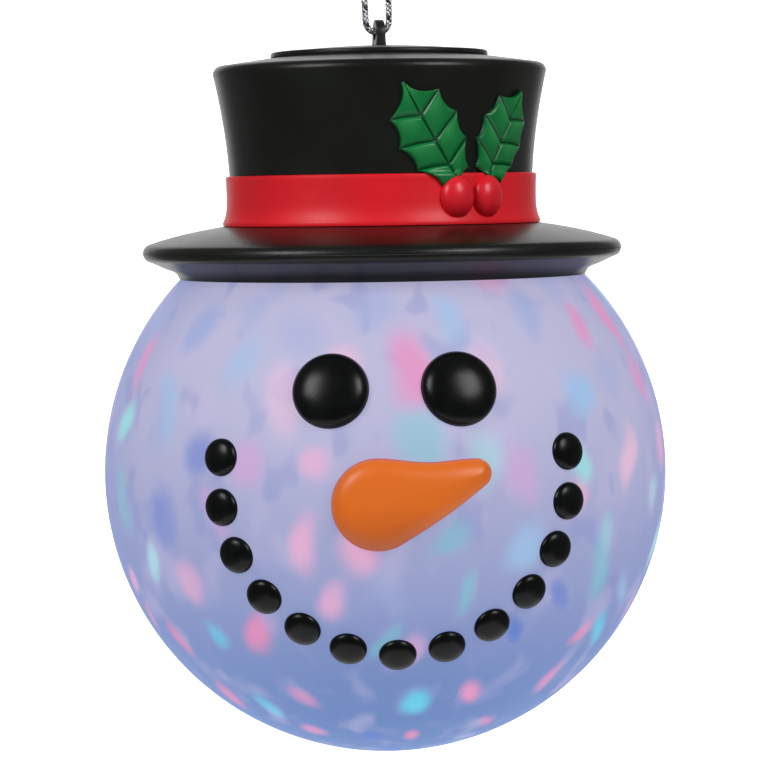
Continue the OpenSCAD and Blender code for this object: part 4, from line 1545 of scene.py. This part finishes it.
@dataclass
class ScrewCap:
    """The cap that screws into the battery bay and carries the hanging tab."""

    maker: Maker
    places: Places
    disc_r: float = 38.5 * MM
    edge_t: float = 1.8 * MM
    dome: float = 2.2 * MM
    plug_r: float = 35 * MM
    plug_depth: float = 8 * MM
    bay_r: float = 37 * MM
    lead: float = 12 * MM
    tab_t: float = 3.3 * MM
    tab_r: float = 5.1 * MM
    hole_r: float = 2.2 * MM
    tab_turn: float = 8.0

    @property
    def disc_z(self) -> float:
        """The height of the disc's underside."""
        return self.places.deck_z + 0.5 * MM

    def build(self, black: bpy.types.Material) -> None:
        """Makes the cap."""
        cap = merge(self._disc(), self._tab(), *[self._lug(120.0 * i) for i in range(3)])
        self.maker.finish(cap, "screw_cap", Body.CAP, "cap_black", black, ("cap",), 40.0)

    def _disc(self) -> BMesh:
        """The domed disc with its stepped edge, and the plug under it."""
        base, top = self.disc_z, self.disc_z + self.edge_t
        corners = [(0.0, base + 0.6 * MM, 0), (self.plug_r - 1.8 * MM, base + 0.6 * MM, 0.2 * MM)]
        corners += [
            (self.plug_r - 1.8 * MM, base - self.plug_depth, 0.3 * MM), (self.plug_r, base - self.plug_depth, 0.4 * MM),
            (self.plug_r, base, 0.1 * MM), (self.disc_r, base, 0.3 * MM), (self.disc_r, top, 0.7 * MM),
            (self.disc_r - 2.2 * MM, top + 0.06 * MM, 0.2 * MM), (self.disc_r - 2.6 * MM, top - 0.3 * MM, 0.15 * MM),
            (self.disc_r - 3.3 * MM, top - 0.3 * MM, 0.15 * MM), (self.disc_r - 3.7 * MM, top + 0.15 * MM, 0.3 * MM),
        ]
        outline = fillet(corners, 4)
        start = self.disc_r - 4.2 * MM
        for k in range(0, 13):
            r = start * (1 - k / 12)
            outline.append((r, top + 0.18 * MM + (self.dome - 0.18 * MM) * (1 - (r / start) ** 1.7)))
        outline[-1] = (0.0, top + self.dome)
        return lathe(outline, 192)

    def _tab(self) -> BMesh:
        """The upright tab with the hanging eye, thicker at its foot."""
        apex = self.disc_z + self.edge_t + self.dome
        mesh = bmesh.new()
        around = 48
        hole = bmesh.ops.create_circle(mesh, segments=around, radius=self.hole_r)["verts"]
        rim = bmesh.ops.create_circle(mesh, segments=around, radius=self.tab_r)["verts"]
        foot = apex - 1.2 * MM
        for vert in rim:
            if vert.co.y < 0:
                side = vert.co.x / self.tab_r
                depth = -vert.co.y / self.tab_r
                vert.co.y = max(foot, foot * min(1.0, depth * 1.6))
                vert.co.x = self.tab_r * (math.copysign(1.0, side) if depth * 1.6 < 1 else side / 0.78)
        edges = [e for e in mesh.edges if all(v in hole for v in e.verts) or all(v in rim for v in e.verts)]
        faces = bmesh.ops.bridge_loops(mesh, edges=edges)["faces"]
        thick = bmesh.ops.extrude_face_region(mesh, geom=faces, use_keep_orig=True)["geom"]
        for vert in (g for g in thick if isinstance(g, BMVert)):
            vert.co.z = self.tab_t
        for vert in mesh.verts:
            low = max(0.0, min(1.0, -vert.co.y / abs(foot)))
            swell = 0.92 + 0.26 * low**2
            vert.co.z = (vert.co.z - self.tab_t / 2) * swell
        bmesh.ops.recalc_face_normals(mesh, faces=mesh.faces)
        bevel_edges(mesh, [e for e in sharp_edges(mesh, 60) if max(v.co.y for v in e.verts) > foot + 0.2 * MM], 0.35 * MM)
        turn = Matrix.Rotation(math.radians(self.tab_turn), 4, "Z")
        return place_mesh(mesh, turn @ Matrix.Rotation(math.radians(90), 4, "Z") @ Matrix.Rotation(math.radians(90), 4, "X"))

    def _lug(self, start: float) -> BMesh:
        """One helical lug of the thread, from its start angle in degrees."""
        mesh = bmesh.new()
        low = self.places.deck_z - 0.2 * MM - 5.4 * MM
        thick = 1.3 * MM
        inner, outer = self.plug_r - 0.5 * MM, self.bay_r - 0.3 * MM
        corners = [(inner, 0.0), (outer, 0.25 * MM), (outer, thick - 0.25 * MM), (inner, thick)]
        verts = [mesh.verts.new((r, 0, z)) for r, z in corners]
        face = mesh.faces.new(verts)
        sweep = math.radians(40)
        steps = 14
        climb = self.lead * sweep / TAU / steps
        bmesh.ops.spin(
            mesh, geom=[face, *verts, *face.edges], cent=(0, 0, 0), axis=(0, 0, 1), dvec=(0, 0, climb), angle=sweep,
            steps=steps, use_merge=False, use_duplicate=False,
        )
        turn = Matrix.Rotation(math.radians(start + 17 + 45 + 9 + 10), 4, "Z")
        return place_mesh(mesh, Matrix.Translation((0, 0, low)) @ turn)


@dataclass
class PowerButton:
    """The round button at the back of the crown."""

    maker: Maker

    def build(self, black: bpy.types.Material) -> None:
        """Makes the button with a dished face and a raised ring."""
        low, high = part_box("power_button")
        head_z = (low.z + high.z) / 2
        front, back = high.y, low.y
        radius, flange_r = 4.0 * MM, 5.2 * MM
        length = front - back
        outline = fillet([
            (0.0, 0.0, 0), (1.9 * MM, 0.0, 0.2 * MM), (1.9 * MM, length - 7.1 * MM, 0.1 * MM),
            (flange_r, length - 7.1 * MM, 0.15 * MM), (flange_r, length - 5.9 * MM, 0.15 * MM),
            (radius, length - 5.9 * MM, 0.1 * MM), (radius, length, 0.45 * MM), (radius - 1.0 * MM, length, 0.2 * MM),
            (radius - 1.4 * MM, length - 0.35 * MM, 0.2 * MM),
        ], 4)
        outline += [(1.3 * MM, length - 0.5 * MM), (0.0, length - 0.55 * MM)]
        mesh = lathe(outline, 72)
        place_mesh(mesh, Matrix.Translation((0, back, head_z)) @ Matrix.Rotation(math.radians(-90), 4, "X"))
        self.maker.finish(mesh, "power_button_dished", Body.BUTTON, "button_black", black, ("power_button",), 35.0)


# ---------------------------------------------------------------------------------------------------------------------
# The light engine and battery bay keep their CAD shapes and get their finishes


@dataclass
class Inside:
    """The CAD nodes that stay as they are, dressed by what they are made of."""

    finishes: dict[str, tuple[str, ...]]
    materials: dict[str, bpy.types.Material]

    def dress(self) -> None:
        """Gives each node its material."""
        for name, nodes in self.finishes.items():
            for node in nodes:
                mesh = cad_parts[node].data
                mesh.materials.clear()
                mesh.materials.append(self.materials[name])
                log.info("%s: dressed as %s", node, name)


# ---------------------------------------------------------------------------------------------------------------------
# Studio


@dataclass
class Studio:
    """A plain white studio with two soft boxes in front and a bright sweep behind."""

    centre: Vector
    floor_z: float = -1.25

    def build(self) -> None:
        """Adds the sweep, the lights and the world."""
        self._sweep()
        self._softbox("softbox_left", Vector((-0.86, -0.74, 0.74)), (0.45, 0.55), 9.0)
        self._softbox("softbox_right", Vector((0.74, -0.86, 0.74)), (0.45, 0.55), 9.0)
        world = bpy.data.worlds.new("studio")
        bpy.context.scene.world = world
        world.use_nodes = True
        world.node_tree.nodes["Background"].inputs["Color"].default_value = (1.0, 1.0, 1.0, 1.0)
        world.node_tree.nodes["Background"].inputs["Strength"].default_value = 0.22
        bpy.context.scene.view_settings.view_transform = "Standard"

    def _softbox(self, name: str, offset: Vector, size: tuple[float, float], power: float) -> None:
        """Adds a rectangular light that faces the globe.

        Args:
            name: the light's name.
            offset: its place from the globe's centre.
            size: its width and height.
            power: its power in watts.
        """
        data = bpy.data.lights.new(name, "AREA")
        data.shape = "RECTANGLE"
        data.size, data.size_y = size
        data.energy = power
        light = bpy.data.objects.new(name, data)
        bpy.context.scene.collection.objects.link(light)
        light.location = self.centre + offset
        light.rotation_euler = (-offset).to_track_quat("-Z", "Y").to_euler()

    def _sweep(self) -> None:
        """Adds the pale floor that curves up behind the object."""
        mesh = bmesh.new()
        wide, near, far, bend = 1.25, -1.5, 2.2, 0.8
        start = mesh.verts.new((-wide, near, self.floor_z))
        points = [start, mesh.verts.new((-wide, far - bend, self.floor_z))]
        for k in range(1, 13):
            angle = math.pi / 2 * k / 12
            points.append(mesh.verts.new((
                -wide, far - bend + bend * math.sin(angle), self.floor_z + bend * (1 - math.cos(angle)),
            )))
        points.append(mesh.verts.new((-wide, far, 3.0)))
        edges = [mesh.edges.new(pair) for pair in zip(points, points[1:], strict=False)]
        moved = bmesh.ops.extrude_edge_only(mesh, edges=edges)["geom"]
        for vert in (g for g in moved if isinstance(g, BMVert)):
            vert.co.x = wide
        data = bpy.data.meshes.new("studio_sweep")
        mesh.to_mesh(data)
        mesh.free()
        shader = Shader("studio_white")
        soft = shader.noise(shader.place(), 0.6, 1.0)
        data.materials.append(shader.dress(
            Base_Color=shader.mix(soft, (0.9, 0.9, 0.9), (0.93, 0.93, 0.93)),
            Roughness=0.9,
            Emission_Color=(1.0, 1.0, 1.0),
            Emission_Strength=0.8,
        ))
        sweep = bpy.data.objects.new("studio_sweep", data)
        bpy.context.scene.collection.objects.link(sweep)


def make_materials(places: Places) -> dict[str, bpy.types.Material]:
    """Builds every finish.

    Args:
        places: where things are.

    Returns:
        The materials by name.
    """
    nose_low, nose_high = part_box("nose")
    finishes = (
        MouldedPlastic("hat_satin_black", srgb(15, 18, 13), 0.34, 700.0, 0.00004, 0.25, 0.26),
        MouldedPlastic("cap_satin_black", srgb(20, 22, 20), 0.36, 700.0, 0.00004, 0.2, 0.3),
        MouldedPlastic("band_satin_red", srgb(226, 22, 36), 0.42, 650.0, 0.00003, 0.06),
        MouldedPlastic("berry_gloss_red", srgb(218, 28, 42), 0.30, 650.0, 0.00002, 0.08),
        MouldedPlastic("button_soft_black", srgb(26, 28, 28), 0.5, 800.0, 0.00004, 0.2),
        MouldedPlastic("bay_black", srgb(38, 40, 42), 0.45, 800.0, 0.00003, 0.2),
        MouldedPlastic("switch_black", srgb(30, 30, 34), 0.4, 900.0, 0.00002, 0.2),
        MouldedPlastic("engine_white", srgb(214, 214, 208), 0.45, 700.0, 0.00003, 0.05),
        MouldedPlastic("gear_natural", srgb(226, 218, 196), 0.35, 900.0, 0.00002, 0.05),
        MouldedPlastic("gasket_dark", srgb(38, 38, 38), 0.7, 1200.0, 0.00004, 0.2),
        MouldedPlastic("cell_film", srgb(44, 78, 124), 0.25, 500.0, 0.00001, 0.1),
        MouldedPlastic("wire_sleeve", srgb(176, 44, 44), 0.4, 900.0, 0.00002, 0.1),
        # The leaves: painted shade in the grooves, the panels' own green, and painted highlights on the crests.
        LeafPlastic("leaf_green", srgb(0, 62, 30), srgb(0, 110, 52), srgb(50, 152, 80)),
        GlossCoal("coal_gloss"),
        # The nose's darker foot is painted shade, and its red edge line is a painted glow leaking round it.
        CarrotPlastic(
            "nose_orange", srgb(184, 84, 28), srgb(224, 109, 28), srgb(205, 52, 40), nose_low.z, nose_high.z - 0.01,
        ),
        BraidedMetal("cord_metallic"),
        BareMetal("screw_plated", srgb(190, 190, 192)),
        BareMetal("contact_nickel", srgb(200, 194, 176), 0.32),
        BareMetal("motor_can", srgb(168, 170, 176), 0.34),
        BareMetal("shaft_ground", srgb(205, 206, 210), 0.22),
        BareMetal("washer_bronze", srgb(190, 150, 92), 0.35),
        CircuitBoard("board_green"),
        ClearPlastic("lens_clear"),
        LitChip("chip_red", srgb(255, 60, 50)),
        LitChip("chip_green", srgb(60, 255, 110)),
        LitChip("chip_blue", srgb(60, 110, 255)),
        # The globe's glow, and the tint of its base colour, are painted light.
        GlowingGlobe("globe_glow", places.centre),
    )
    return {finish.name: finish.make() for finish in finishes}


def main() -> None:
    """Builds the model in order."""
    logging.basicConfig(level=logging.INFO, format="%(name)s: %(message)s")
    places = Places.read()
    crown = Crown(places)
    maker = Maker()
    Camera().place(places.centre)
    materials = make_materials(places)
    HangingCord(maker, materials["cord_metallic"]).build()
    Globe(maker, places).build(materials["globe_glow"], materials["coal_gloss"], materials["nose_orange"])
    Hat(maker, places, crown).build(materials["hat_satin_black"], materials["band_satin_red"])
    Holly(maker, places, crown).build(materials["leaf_green"], materials["berry_gloss_red"])
    ScrewCap(maker, places).build(materials["cap_satin_black"])
    PowerButton(maker).build(materials["button_soft_black"])
    Inside(
        {
            "gasket_dark": ("cap_gasket", "globe_seal"),
            "engine_white": ("chassis",),
            "screw_plated": ("neck_screws", "brim_screws", "bay_screws", "motor_screws", "board_screws"),
            "bay_black": ("battery_bay",),
            "cell_film": ("battery_1", "battery_2", "battery_3"),
            "contact_nickel": ("battery_springs", "battery_contacts", "motor_bracket"),
            "board_green": ("control_board", "led_board"),
            "switch_black": ("tact_switch", "switch_stem"),
            "motor_can": ("motor",),
            "shaft_ground": ("motor_shaft",),
            "gear_natural": ("motor_pinion", "lens_carrier"),
            "lens_clear": ("faceted_lens",),
            "washer_bronze": ("thrust_washer",),
            "chip_red": ("led_red",),
            "chip_green": ("led_green",),
            "chip_blue": ("led_blue",),
            "wire_sleeve": ("internal_wires",),
        },
        materials,
    ).dress()
    Studio(places.centre).build()


if __name__ == "__main__":
    main()
